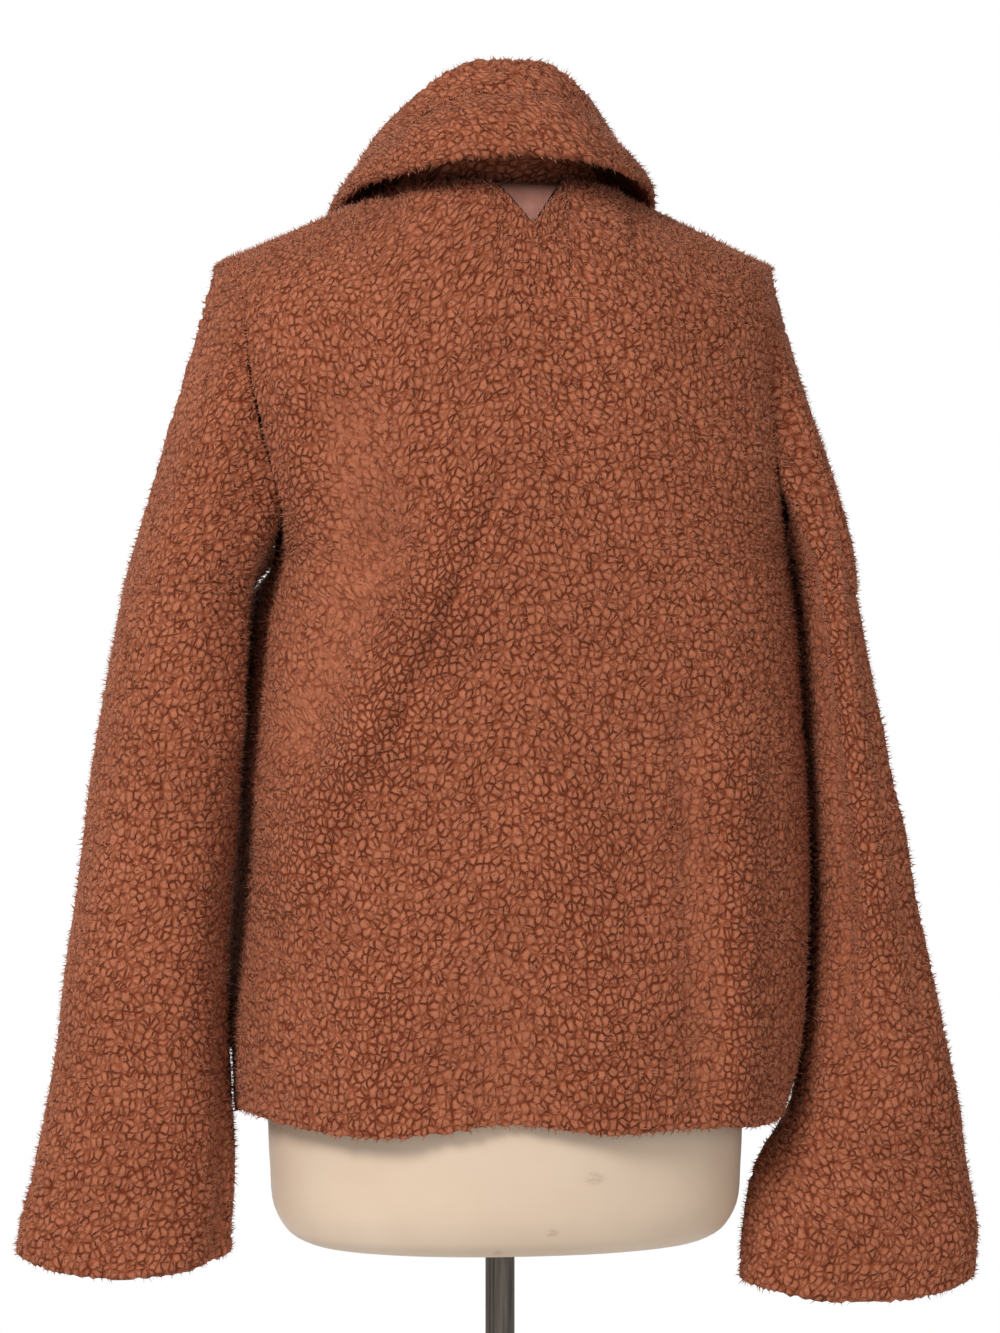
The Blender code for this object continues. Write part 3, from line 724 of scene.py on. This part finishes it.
def flat_chart(grid, closed, place):
    """The piece laid flat, so that its pile is even all over it. A sleeve is
    opened along its seam, half way round, and measured from below its head."""
    half = grid.shape[1] // 2
    down = arc_run(grid, 0)
    if closed:
        opened = np.roll(grid, -half, axis=1)
        over = np.roll(arc_run(opened, 1), half, axis=1)
        over[:CAP_GRID_ROWS] = over[CAP_GRID_ROWS]
        down = down - down[CAP_GRID_ROWS]
    else:
        over = arc_run(grid, 1)
        over = over - over[:, half:half + 1]
    return np.stack((over, down, np.zeros(over.shape)), axis=-1) + (0, CHART_APART * place, 0)


def round_edge(distance, radius):
    """A quarter circle from an edge to the flat of the cloth."""
    part = np.clip(distance / radius, 0, 1)
    return np.sqrt(1 - (1 - part) ** 2)


def lining_faces(rows, columns, width, start, closed):
    """Coarse faces of the inside, which share the outer grid's edge points."""
    last_row = len(rows) - 1
    last_column = len(columns) - 1

    def corner(row, column):
        at_side = not closed and column in (0, last_column)
        if row in (0, last_row) or at_side:
            return rows[row] * width + columns[column] % width
        return start + row * len(columns) + (column % last_column if closed else column)

    def edge_run(row, column, next_row, next_column):
        if row == next_row and row in (0, last_row):
            step = 1 if next_column > column else -1
            between = range(columns[column] + step, columns[next_column], step)
            return [rows[row] * width + place % width for place in between]
        if column == next_column and not closed and column in (0, last_column):
            step = 1 if next_row > row else -1
            between = range(rows[row] + step, rows[next_row], step)
            return [place * width + columns[column] for place in between]
        return []

    faces = []
    for row in range(last_row):
        for column in range(last_column):
            cell = ((row, column), (row + 1, column), (row + 1, column + 1), (row, column + 1))
            face = []
            for here, there in zip(cell, cell[1:] + cell[:1]):
                face.append(corner(*here))
                face += edge_run(*here, *there)
            faces.append(face)
    return faces


def every(count, step):
    """Every few places from the first to the last, both included."""
    return sorted(set(range(0, count - step // 2, step)) | {count - 1})


def both_sides(outer, inner):
    """A shell's values point by point: its outside's, then its inside's."""
    return np.concatenate([side.reshape(-1, *side.shape[2:]) for side in (outer, inner)])


def add_attribute(mesh, name, values):
    """Store numbers or vectors on a mesh's points."""
    vectors = values.ndim > 1
    made = mesh.attributes.new(name, "FLOAT_VECTOR" if vectors else "FLOAT", "POINT")
    made.data.foreach_set("vector" if vectors else "value", values.ravel())


def rounded_face(grid, wall, facing, closed, sewn):
    """A grid with round free edges and tucked sewn ones, the way its pile
    stands, the inside's points and how far each point is from a seam."""
    along, across, out = grid_frame(grid, facing, closed)
    edges = edge_distances(grid, closed)
    seam = np.minimum.reduce([edges[key] for key in sewn])
    away = np.minimum.reduce(list(edges.values()))
    free = np.minimum.reduce([edges[key] for key in edges if key not in sewn])
    rise_seam = round_edge(seam, SEAM_RADIUS)
    rise = np.minimum(rise_seam, round_edge(free, wall / 2))
    slope_row, slope_column = np.gradient(away)
    if closed:
        slope_column = np.zeros(away.shape)
    length_row = np.maximum((along ** 2).sum(-1), 1e-6)
    length_column = np.maximum((across ** 2).sum(-1), 1e-6)
    outwards = -((slope_row / length_row)[..., None] * along
                 + (slope_column / length_column)[..., None] * across)
    outwards = unit(outwards)
    turned = unit(out * rise[..., None] + outwards * (1 - rise)[..., None])
    outer = grid - out * ((wall / 2) * (1 - rise))[..., None]
    outer = outer + outwards * (SEAM_TUCK * (1 - rise_seam))[..., None]
    return outer, turned, grid - out * wall, seam


def cloth_piece(name, grid, ridge, wall, facing, closed, sewn):
    """A closed shell: fine pile outside, plain inside."""
    outer, turned, inside, seam = rounded_face(grid, wall, facing, closed, sewn)
    count_rows, width = grid.shape[:2]
    rows = every(count_rows, LINING_EVERY)
    columns = every(width + 1 if closed else width, LINING_EVERY)
    picked = np.ix_(rows, [column % width for column in columns])
    inner = inside[picked]
    lower = np.zeros(inner.shape[:2])
    chart = flat_chart(grid, closed, len(bpy.data.objects))
    pile = 1 - (1 - SEAM_PILE) * np.exp(-(seam / SEAM_REACH) ** 2)
    faces = grid_faces(count_rows, width, closed)
    faces += lining_faces(rows, columns, width, count_rows * width, closed)

    points = both_sides(outer, inner) * MM
    mesh = bpy.data.meshes.new(name)
    mesh.from_pydata(points.tolist(), [], faces)
    add_attribute(mesh, "rest", points)
    add_attribute(mesh, "out", both_sides(turned, np.zeros(inner.shape)))
    add_attribute(mesh, "pile", both_sides(pile, lower))
    add_attribute(mesh, "chart", both_sides(chart, chart[picked]) * MM)
    add_attribute(mesh, "ridge", both_sides(ridge, lower))
    face_outwards(mesh)
    piece = link_piece(name, mesh)
    raise_pile(piece)
    piece.data.materials.clear()
    piece.data.materials.append(SHERPA)
    return piece


def face_outwards(mesh):
    """Drop a closed mesh's loose points, face it outwards and shade it smooth."""
    shell = bmesh.new()
    shell.from_mesh(mesh)
    loose = [point for point in shell.verts if not point.link_faces]
    bmesh.ops.delete(shell, geom=loose, context="VERTS")
    bmesh.ops.recalc_face_normals(shell, faces=shell.faces)
    shell.to_mesh(mesh)
    shell.free()
    mesh.shade_smooth()


def closed_piece(name, points, faces, material):
    """A closed mesh of its points in millimetres, linked as a piece."""
    mesh = bpy.data.meshes.new(name)
    mesh.from_pydata((points * MM).tolist(), [], faces)
    mesh.materials.append(material)
    face_outwards(mesh)
    mesh.set_sharp_from_angle(angle=SHARP_ANGLE)
    return link_piece(name, mesh)


def link_piece(name, mesh):
    """Put a mesh into the scene as a piece that rides on the stand."""
    piece = bpy.data.objects.new(name, mesh)
    bpy.context.scene.collection.objects.link(piece)
    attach(piece, "root")
    return piece


def add_node(tree, kind, inputs=None, **settings):
    """A node with its settings, and its inputs set or linked."""
    node = tree.nodes.new(kind)
    for key, value in settings.items():
        setattr(node, key, value)
    for key, value in (inputs or {}).items():
        if isinstance(value, bpy.types.NodeSocket):
            tree.links.new(value, node.inputs[key])
        else:
            node.inputs[key].default_value = value
    return node


def vector_maths(tree, operation, first, second):
    """One sum of two vectors."""
    inputs = {0: first, 1: second}
    return add_node(tree, "ShaderNodeVectorMath", inputs, operation=operation).outputs[0]


def scaled(tree, vector, factor):
    """A vector times a vector."""
    return vector_maths(tree, "MULTIPLY", vector, factor)


def maths(tree, operation, first, second=0.0):
    """One sum of two numbers."""
    return add_node(tree, "ShaderNodeMath", {0: first, 1: second}, operation=operation).outputs[0]


def multiply_add(tree, value, factor, offset):
    """A number times a factor, plus another number."""
    inputs = {0: value, 1: factor, 2: offset}
    return add_node(tree, "ShaderNodeMath", inputs, operation="MULTIPLY_ADD").outputs[0]


def smoothed(tree, value, low, high, start=0.0, end=1.0):
    """A number eased from one range to another."""
    inputs = {"Value": value, "From Min": low, "From Max": high, "To Min": start, "To Max": end}
    return add_node(tree, "ShaderNodeMapRange", inputs, interpolation_type="SMOOTHSTEP").outputs[0]


def noise(tree, place, scale, detail=2.0, roughness=0.5, distortion=0.0, **settings):
    """A cloudy number near a half, from nought to one."""
    inputs = {"Vector": place, "Scale": scale, "Detail": detail, "Roughness": roughness,
              "Distortion": distortion}
    return add_node(tree, "ShaderNodeTexNoise", inputs, **settings).outputs[0]


def object_place(tree):
    """The place on a piece in metres."""
    return add_node(tree, "ShaderNodeTexCoord").outputs["Object"]


def finish_look(made, shader, colour, relief=None, strength=1.0, reach=0.0):
    """Give a material its colour, and its fine relief if it has one."""
    tree = made.node_tree
    tree.links.new(colour, shader.inputs["Base Color"])
    if relief is not None:
        inputs = {"Height": relief, "Strength": strength, "Distance": reach * MM}
        bump = add_node(tree, "ShaderNodeBump", inputs)
        tree.links.new(bump.outputs[0], shader.inputs["Normal"])
    return made


def crack_distance(tree, inputs):
    """How far a place is from the nearest crack between two cells."""
    return add_node(tree, "ShaderNodeTexVoronoi", inputs, feature="DISTANCE_TO_EDGE",
                    voronoi_dimensions="2D").outputs["Distance"]


def pebbles(tree, chart, ridge):
    """The pile's rounded clumps: height from 0 in a crack to 1 on a clump's
    top, and a number of each clump's own. The mesh and its look share it,
    and in the look it sets painted shade in the cracks and a painted highlight on the tops."""
    place = chart
    for size, reach in WARPS:
        swirl = add_node(tree, "ShaderNodeTexNoise", {"Vector": chart, "Scale": 1 / (size * MM)},
                         noise_dimensions="2D")
        centred = vector_maths(tree, "SUBTRACT", swirl.outputs["Color"], (0.5,) * 3)
        place = vector_maths(tree, "ADD", place, scaled(tree, centred, (reach * MM,) * 3))
    place = scaled(tree, place, (1, PEBBLE_STRETCH, 1))
    inputs = {"Vector": place, "Scale": 1 / (PEBBLE * MM), "Randomness": PEBBLE_JITTER}
    edge = crack_distance(tree, inputs)
    cells = add_node(tree, "ShaderNodeTexVoronoi", inputs, feature="F1", voronoi_dimensions="2D")
    own = add_node(tree, "ShaderNodeSeparateXYZ", {0: cells.outputs["Color"]}).outputs[0]
    inputs = {"Vector": place, "Scale": 1 / (CLUSTER * MM), "Randomness": 1.0}
    cluster = crack_distance(tree, inputs)
    wall = smoothed(tree, edge, 0.0, CRACK_WIDTH)
    far = cells.outputs["Distance"]
    dome = multiply_add(tree, maths(tree, "MULTIPLY", far, far), -DOME_FALL, 1.0)
    joined = smoothed(tree, cluster, 0.0, CLUSTER_CRACK, CLUSTER_LOW, 1.0)
    raised = maths(tree, "MULTIPLY", maths(tree, "MULTIPLY", wall, dome), joined)
    area = noise(tree, chart, 1 / (VARY_SIZE * MM), 1.0, noise_dimensions="2D")
    vary = smoothed(tree, area, *VARY_RANGE, CRACK_LEAST, 1.0)
    # Fold ridges deepen the cracks, in the mesh and in the painted shade the look draws in them
    depth = multiply_add(tree, ridge, RIDGE_CRACK, vary)
    depth = maths(tree, "MINIMUM", maths(tree, "MAXIMUM", depth, DEPTH_LEAST), 1.0)
    low = maths(tree, "SUBTRACT", 1.0, raised)
    height = maths(tree, "SUBTRACT", 1.0, maths(tree, "MULTIPLY", depth, low))
    return height, own


def pile_tree():
    """Geometry nodes that raise the pile out of a piece's smooth cloth."""
    tree = bpy.data.node_groups.new("pile", "GeometryNodeTree")
    tree.interface.new_socket("Geometry", in_out="INPUT", socket_type="NodeSocketGeometry")
    tree.interface.new_socket("Geometry", in_out="OUTPUT", socket_type="NodeSocketGeometry")
    entry = tree.nodes.new("NodeGroupInput")
    leave = tree.nodes.new("NodeGroupOutput")

    def stored(name, kind):
        return add_node(tree, "GeometryNodeInputNamedAttribute", {"Name": name}, data_type=kind).outputs[0]

    ridge = stored("ridge", "FLOAT")
    height, _ = pebbles(tree, stored("chart", "FLOAT_VECTOR"), ridge)
    lift = multiply_add(tree, height, RELIEF * MM, -SINK * MM)
    lift = maths(tree, "MULTIPLY", lift, stored("pile", "FLOAT"))
    offset = add_node(tree, "ShaderNodeVectorMath", {0: stored("out", "FLOAT_VECTOR"), "Scale": lift},
                      operation="SCALE").outputs[0]
    moved = add_node(tree, "GeometryNodeSetPosition", {"Geometry": entry.outputs[0], "Offset": offset})
    tree.links.new(moved.outputs[0], leave.inputs[0])
    return tree


def raise_pile(piece):
    """Apply the pile's nodes to a piece's mesh."""
    nodes = piece.modifiers.new("pile", "NODES")
    nodes.node_group = PILE
    evaluated = piece.evaluated_get(bpy.context.evaluated_depsgraph_get())
    mesh = bpy.data.meshes.new_from_object(evaluated)
    piece.modifiers.remove(nodes)
    mesh.name = piece.data.name
    piece.data = mesh


def flow(points):
    """A slowly turning direction, so that neighbouring tips lean together."""
    draw = np.random.default_rng(SEED)
    bend = np.zeros(points.shape)
    for axis in range(3):
        for length in FLOW_LENGTHS:
            heading = unit(draw.normal(size=3)) * 2 * math.pi / length
            bend[:, axis] += np.sin(points @ heading + draw.uniform(0, 2 * math.pi))
    return unit(bend)


def read_attribute(mesh, name, size):
    """Values stored on a mesh's points, a row for each point."""
    values = np.empty(len(mesh.vertices) * size, np.float32)
    mesh.attributes[name].data.foreach_get("vector" if size == 3 else "value", values)
    return values.reshape(-1, size).astype(float)


def tuft_mesh(name, root, heading, side, length, radius):
    """Closed three-sided spikes, each from its root along its heading."""
    other = np.cross(heading, side)
    corners = []
    for turn in np.radians((0, 120, 240)):
        corners.append(root + radius * (side * math.cos(turn) + other * math.sin(turn)))
    corners.append(root + heading * length)
    spikes = np.stack(corners, axis=1).reshape(-1, 3) * MM
    base = np.arange(len(root))[:, None, None] * 4
    faces = (base + np.array(((0, 2, 1), (0, 1, 3), (1, 2, 3), (2, 0, 3)))).reshape(-1, 3)
    tufts = bpy.data.meshes.new(name)
    tufts.from_pydata(spikes.tolist(), [], faces.tolist())
    tufts.shade_smooth()
    tufts.materials.append(TIPS)
    return tufts


def make_tips(name, cloth, seed):
    """Short three-sided tufts that stand out of a piece's pile."""
    mesh = cloth.data
    points = read_attribute(mesh, "position", 3) / MM
    out = read_attribute(mesh, "out", 3)
    outer = np.flatnonzero(read_attribute(mesh, "pile", 1)[:, 0] > 0)
    lift = ((points - read_attribute(mesh, "rest", 3) / MM) * out).sum(-1)[outer]
    chosen = outer[lift > np.percentile(lift, TIP_LOWEST)]
    draw = np.random.default_rng(seed)
    amount = int(len(outer) * STEP ** 2 / TIP_AREA)
    chosen = draw.choice(chosen, amount, replace=False)
    root = points[chosen] + draw.normal(0, TIP_SPREAD, (amount, 3))
    lean = flow(root) + draw.normal(0, TIP_SPREAD, (amount, 3))
    heading = unit(out[chosen] + TIP_LEAN * unit(lean))
    root = root - out[chosen] * TIP_DEPTH
    side = unit(np.cross(heading, draw.normal(size=(amount, 3))))
    length = draw.uniform(*TIP_LENGTH, (amount, 1))
    thin, thick = TIP_RADIUS
    radius = thin + (thick - thin) * draw.uniform(0, 1, (amount, 1)) ** 3
    piece = link_piece(name, tuft_mesh(name, root, heading, side, length, radius))
    return piece


def dress(node, grid, ridge, wall, facing, closed, sewn):
    cloth = cloth_piece(node + "_cloth", grid, ridge, wall, facing, closed, sewn)
    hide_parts(node)
    tips = make_tips(node + "_pile", cloth, SEED + len(bpy.data.objects))


def make_material(name, roughness, **sockets):
    """A material, its tree and its Principled shader."""
    made = bpy.data.materials.new(name)
    made.use_nodes = True
    tree = made.node_tree
    shader = tree.nodes["Principled BSDF"]
    shader.inputs["Roughness"].default_value = roughness
    for key, value in sockets.items():
        shader.inputs[key.replace("_", " ")].default_value = value
    return made, tree, shader


def ramp(tree, value, stops):
    """A colour that runs through stops as a number grows."""
    node = add_node(tree, "ShaderNodeValToRGB", {0: value})
    elements = node.color_ramp.elements
    while len(elements) < len(stops):
        elements.new(0.5)
    for element, (place, colour) in zip(elements, stops):
        element.position = place
        element.color = (*colour, 1)
    return node.outputs[0]


def blended(tree, mode, amount, first, second):
    """Two colours mixed."""
    inputs = {MIX_AMOUNT: amount, MIX_FIRST: first, MIX_SECOND: second}
    node = add_node(tree, "ShaderNodeMix", inputs, data_type="RGBA", blend_type=mode)
    return node.outputs[MIX_RESULT]


def sherpa_look():
    """Curled pile: painted shade in the cracks, a painted highlight on the rounded clumps' tops, paler
    fibre ends.
    """
    made, tree, shader = make_material("sherpa", 0.92, Specular_IOR_Level=0.12, Sheen_Weight=0.1,
                                       Sheen_Roughness=0.5, Sheen_Tint=(1.0, 0.6, 0.42, 1))
    chart = add_node(tree, "ShaderNodeAttribute", attribute_name="chart").outputs["Vector"]
    ridge = add_node(tree, "ShaderNodeAttribute", attribute_name="ridge").outputs["Fac"]
    height, own = pebbles(tree, chart, ridge)
    curl = noise(tree, chart, CURL_SCALE, 3.0, 0.62, 1.5)
    drift = noise(tree, chart, DRIFT_SCALE)
    # The clump height, stirred by the fibre curl, picks the colour: painted shade in the cracks and a
    # painted highlight on the clump tops
    painted_shade_and_wisps = multiply_add(tree, maths(tree, "SUBTRACT", curl, 0.5), CURL_COLOUR, height)
    base = ramp(tree, painted_shade_and_wisps, PILE_COLOURS_WITH_PAINTED_SHADE_AND_HIGHLIGHT)
    warm = ramp(tree, own, ((0.0, (0.92, 0.90, 0.89)), (1.0, (1.03, 1.03, 1.03))))
    base = blended(tree, "MULTIPLY", 1.0, base, warm)
    patchy = ramp(tree, drift, ((0.3, (0.90, 0.88, 0.87)), (0.7, (1.05, 1.05, 1.06))))
    base = blended(tree, "MULTIPLY", 1.0, base, patchy)
    relief = multiply_add(tree, curl, CURL_RELIEF, height)
    return finish_look(made, shader, base, relief, 1.0, BUMP_REACH)


def tips_look():
    """The pile's fibre ends."""
    made, tree, shader = make_material("pile_tips", 0.9, Specular_IOR_Level=0.15, Sheen_Weight=0.3,
                                       Sheen_Roughness=0.5, Sheen_Tint=(1.0, 0.75, 0.6, 1))
    mottle = noise(tree, object_place(tree), TIP_MOTTLE)
    return finish_look(made, shader, ramp(tree, mottle, TIP_COLOURS))


def patch_look():
    """Smooth faux leather with a fine grain and a soft sheen."""
    made, tree, shader = make_material("patch", 0.5, Sheen_Weight=0.1)
    where = object_place(tree)
    inputs = {"Vector": where, "Scale": PATCH_GRAIN}
    grain = add_node(tree, "ShaderNodeTexVoronoi", inputs).outputs["Distance"]
    cloud = noise(tree, where, PATCH_CLOUD, 3.0)
    return finish_look(made, shader, ramp(tree, cloud, PATCH_COLOURS), grain, 0.25, 0.2)


def cover_look():
    """The form's smooth cover: fine knit, faint clouds and scuffs."""
    made, tree, shader = make_material("form_cover", 0.55, Sheen_Weight=0.08)
    where = object_place(tree)
    base = ramp(tree, noise(tree, where, COVER_CLOUD, 4.0), COVER_COLOURS)
    stretched = scaled(tree, where, (1.0, 1.0, 3.0))
    marks = noise(tree, stretched, COVER_MARKS, 5.0, 0.7)
    worn = smoothed(tree, marks, 0.66, 0.74, 0.0, 0.45)
    for x, z, radius in SCUFFS:
        centre = (x * MM, SCUFF_BACK * MM, z * MM)
        offset = vector_maths(tree, "SUBTRACT", where, centre)
        flat = scaled(tree, offset, (1.0, 0.15, 1.6))
        span = add_node(tree, "ShaderNodeVectorMath", {0: flat}, operation="LENGTH").outputs["Value"]
        spot = smoothed(tree, span, radius * MM * 0.3, radius * MM, 0.55, 0.0)
        spot = maths(tree, "MULTIPLY", spot, smoothed(tree, marks, 0.42, 0.55))
        worn = maths(tree, "MAXIMUM", worn, spot)
    base = blended(tree, "MIX", worn, base, SCUFF_COLOUR)
    knit = noise(tree, where, COVER_KNIT, 1.0)
    return finish_look(made, shader, base, knit, 0.15, 0.3)


def steel_look():
    """Dark nickel, drawn lengthwise."""
    made, tree, shader = make_material("steel", 0.3, Metallic=1.0)
    drawn = scaled(tree, object_place(tree), (1.0, 1.0, 0.02))
    lines = noise(tree, drawn, STEEL_LINES, 3.0)
    rough = smoothed(tree, lines, 0.3, 0.7, 0.22, 0.42)
    tree.links.new(rough, shader.inputs["Roughness"])
    return finish_look(made, shader, ramp(tree, lines, STEEL_COLOURS))


def dress_body():
    """The back and the two fronts. Returns the armholes' edges."""
    levels = fine_levels()
    armpit = int(np.argmin(np.abs(levels - ARMHOLE["level"][0])))
    arm = slice(armpit, None)
    middle = 1.5 * math.pi
    lap = math.asin((LAP / SHOULDER_RIGHT) ** (1 / SECTION_POWER))

    back, ridge = fine_panel(0, math.pi, levels, True, True, 1, notch=True)
    dress("back", back, ridge, WALL, 1, False, ("first_column", "last_column", "last_row"))
    left, ridge = fine_panel(middle - lap, 2 * math.pi, levels, False, True, -1)
    dress("front_left", left, ridge, WALL, 1, False, ("last_column", "last_row"))
    right, ridge = fine_panel(math.pi, middle + lap, levels, True, False, -1)
    tuck = smooth_step((right[..., 0] + LAP + LAP_EASE + LAP_MARGIN) / LAP_EASE)
    sunk = right - grid_frame(right, 1, False)[2] * ((WALL + LAP_GAP) * tuck)[..., None]
    dress("front_right", sunk, ridge, WALL, 1, False, ("first_column", "last_row"))
    edges = {}
    sides = (("left", back[arm, 0], left[arm, -1]), ("right", back[arm, -1], right[arm, 0]))
    for side, rear, front in sides:
        top = (rear[-1:] + front[-1:]) / 2
        pit = (rear[:1] + front[:1]) / 2
        edges[side] = np.concatenate((top, rear[::-1][1:-1], pit, front[1:-1]))
    return edges


def dress_sleeve(side, rings, loop, folds):
    """One sleeve, with the long creases down its length."""
    hole = resample(loop, SLEEVE_GRID_COLUMNS)
    middle = np.array((0, 0, hole[:, 2].mean()))
    inner = hole - unit((hole - middle) * (1, 1, 0)) * WALL
    grid, _ = sleeve_grid(rings, hole, inner, CAP_GRID_ROWS, SLEEVE_GRID_ROWS, SLEEVE_CAPS[side])
    facing = -np.sign(rings["centre_x"][0])
    phase = np.degrees(np.linspace(0, 2 * math.pi, grid.shape[1], endpoint=False))
    rise = fold_rise(folds, np.broadcast_to(phase, grid.shape[:2]), grid[..., 2])
    out = grid_frame(grid, facing, True)[2]
    grid = grid + out * rise[..., None]
    ridge = np.clip(rise / RIDGE_RISE, -1, 1)
    dress("sleeve_" + side, grid, ridge, WALL, facing, True, ("first_row",))


def dress_collar():
    """The turned-over collar."""
    end = math.radians(COLLAR_END)
    turns = np.linspace(-end, end, COLLAR_GRID_TURNS)
    hidden = np.array([collar_path(turn, COLLAR_GRID_STEPS) for turn in turns])
    grid = hidden - grid_frame(hidden, 1, False)[2] * COLLAR_WALL
    grid[:, 0, 2] = hidden[:, 0, 2]
    ridge = np.zeros(grid.shape[:2])
    dress("collar", grid, ridge, COLLAR_WALL, -1, False, ("first_column",))


def dress_patch():
    """The bare three-cornered patch at the nape."""
    grid = patch_grid(PATCH_GRID)
    inner = grid - grid_frame(grid, 1, False)[2] * PATCH_WALL
    rows, width = grid.shape[:2]
    count = rows * width
    faces = grid_faces(rows, width, False)
    faces += [tuple(place + count for place in face[::-1]) for face in faces]
    border = list(range(width)) + [row * width + width - 1 for row in range(1, rows)]
    border += list(range((rows - 1) * width + width - 2, (rows - 1) * width - 1, -1))
    border += [row * width for row in range(rows - 2, 0, -1)]
    for first, second in zip(border, border[1:] + border[:1]):
        faces.append((first, first + count, second + count, second))
    piece = closed_piece("nape_patch", both_sides(grid, inner), faces, PATCH)
    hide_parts("neck_patch")


def dress_form():
    """The form's torso, finely rounded."""
    rings = np.array(form_rings())
    run = run_along(rings)
    columns = {"run": run, **dict(zip(FORM, rings.T))}
    at = np.union1d(np.linspace(0, run[-1], FORM_GRID_ROWS), run)
    height, half, back, front = (read(columns, key, at)[:, None] for key in FORM)
    phase = np.linspace(0, 2 * math.pi, FORM_GRID_SIDES, endpoint=False)[None, :]
    lean = FORM_LEAN * (1 - smooth_step((height - FORM_BOTTOM) / (YOKE - FORM_BOTTOM)))
    depth = np.where(np.sin(phase) >= 0, back, front)
    grid = np.stack((lean + half * signed_power(np.cos(phase), FORM_POWER),
                     depth * signed_power(np.sin(phase), FORM_POWER),
                     height + 0 * phase), axis=-1)
    rows, width = grid.shape[:2]
    faces = grid_faces(rows, width, True)
    faces.append(tuple(range(width))[::-1])
    faces.append(tuple((rows - 1) * width + column for column in range(width)))
    piece = closed_piece("form_torso_cover", grid.reshape(-1, 3), faces, COVER)
    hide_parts("form_torso")


def dress_stand():
    """Give the pole and the foot their metal."""
    for node in ("stand_pole", "stand_foot"):
        solid = frame["nodes"][node]
        solid.data.materials.clear()
        solid.data.materials.append(STEEL)


def studio():
    """A pale floor, soft lights and a white surround."""
    bpy.ops.mesh.primitive_circle_add(vertices=128, radius=FLOOR_RADIUS, fill_type="NGON")
    floor = bpy.context.object
    floor.name = "studio_floor"
    paint, _, shader = make_material("studio_floor", 0.8)
    shader.inputs["Base Color"].default_value = (0.86, 0.86, 0.85, 1)
    floor.data.materials.append(paint)
    target = Vector((0, 0, LIGHT_AIM))
    for name, x, y, z, size, power in LIGHTS:
        lamp = bpy.data.lights.new(name, "AREA")
        lamp.shape = "DISK"
        lamp.size = size
        lamp.energy = power
        holder = bpy.data.objects.new(name, lamp)
        holder.location = (x, y, z)
        holder.rotation_euler = (target - holder.location).to_track_quat("-Z", "Y").to_euler()
        bpy.context.scene.collection.objects.link(holder)
    world = bpy.data.worlds.new("studio")
    bpy.context.scene.world = world
    world.use_nodes = True
    tree = world.node_tree
    seen = add_node(tree, "ShaderNodeLightPath").outputs["Is Camera Ray"]
    strength = multiply_add(tree, seen, 1.0 - SURROUND, SURROUND)
    sky = tree.nodes["Background"]
    sky.inputs[0].default_value = (1, 1, 1, 1)
    tree.links.new(strength, sky.inputs[1])


def camera():
    """The photograph's viewpoint: level, a little to the wearer's left."""
    lens = bpy.data.cameras.new("camera")
    lens.lens = CAMERA_LENS
    lens.sensor_width = 36
    eye = bpy.data.objects.new("camera", lens)
    eye.location = (CAMERA_AWAY * math.sin(CAMERA_TURN), CAMERA_AWAY * math.cos(CAMERA_TURN), CAMERA_HEIGHT)
    heading = Vector((-eye.location.x, -eye.location.y, 0))
    eye.rotation_euler = heading.to_track_quat("-Z", "Y").to_euler()
    bpy.context.scene.collection.objects.link(eye)
    bpy.context.scene.camera = eye


SHERPA = sherpa_look()
TIPS = tips_look()
PATCH = patch_look()
COVER = cover_look()
STEEL = steel_look()
PILE = pile_tree()

camera()
studio()
dress_form()
dress_stand()
LOOPS = dress_body()
dress_sleeve("left", SLEEVE_LEFT, LOOPS["left"], SLEEVE_FOLDS["left"])
dress_sleeve("right", SLEEVE_RIGHT, LOOPS["right"], SLEEVE_FOLDS["right"])
dress_collar()
dress_patch()
bpy.context.scene.view_settings.view_transform = "Standard"
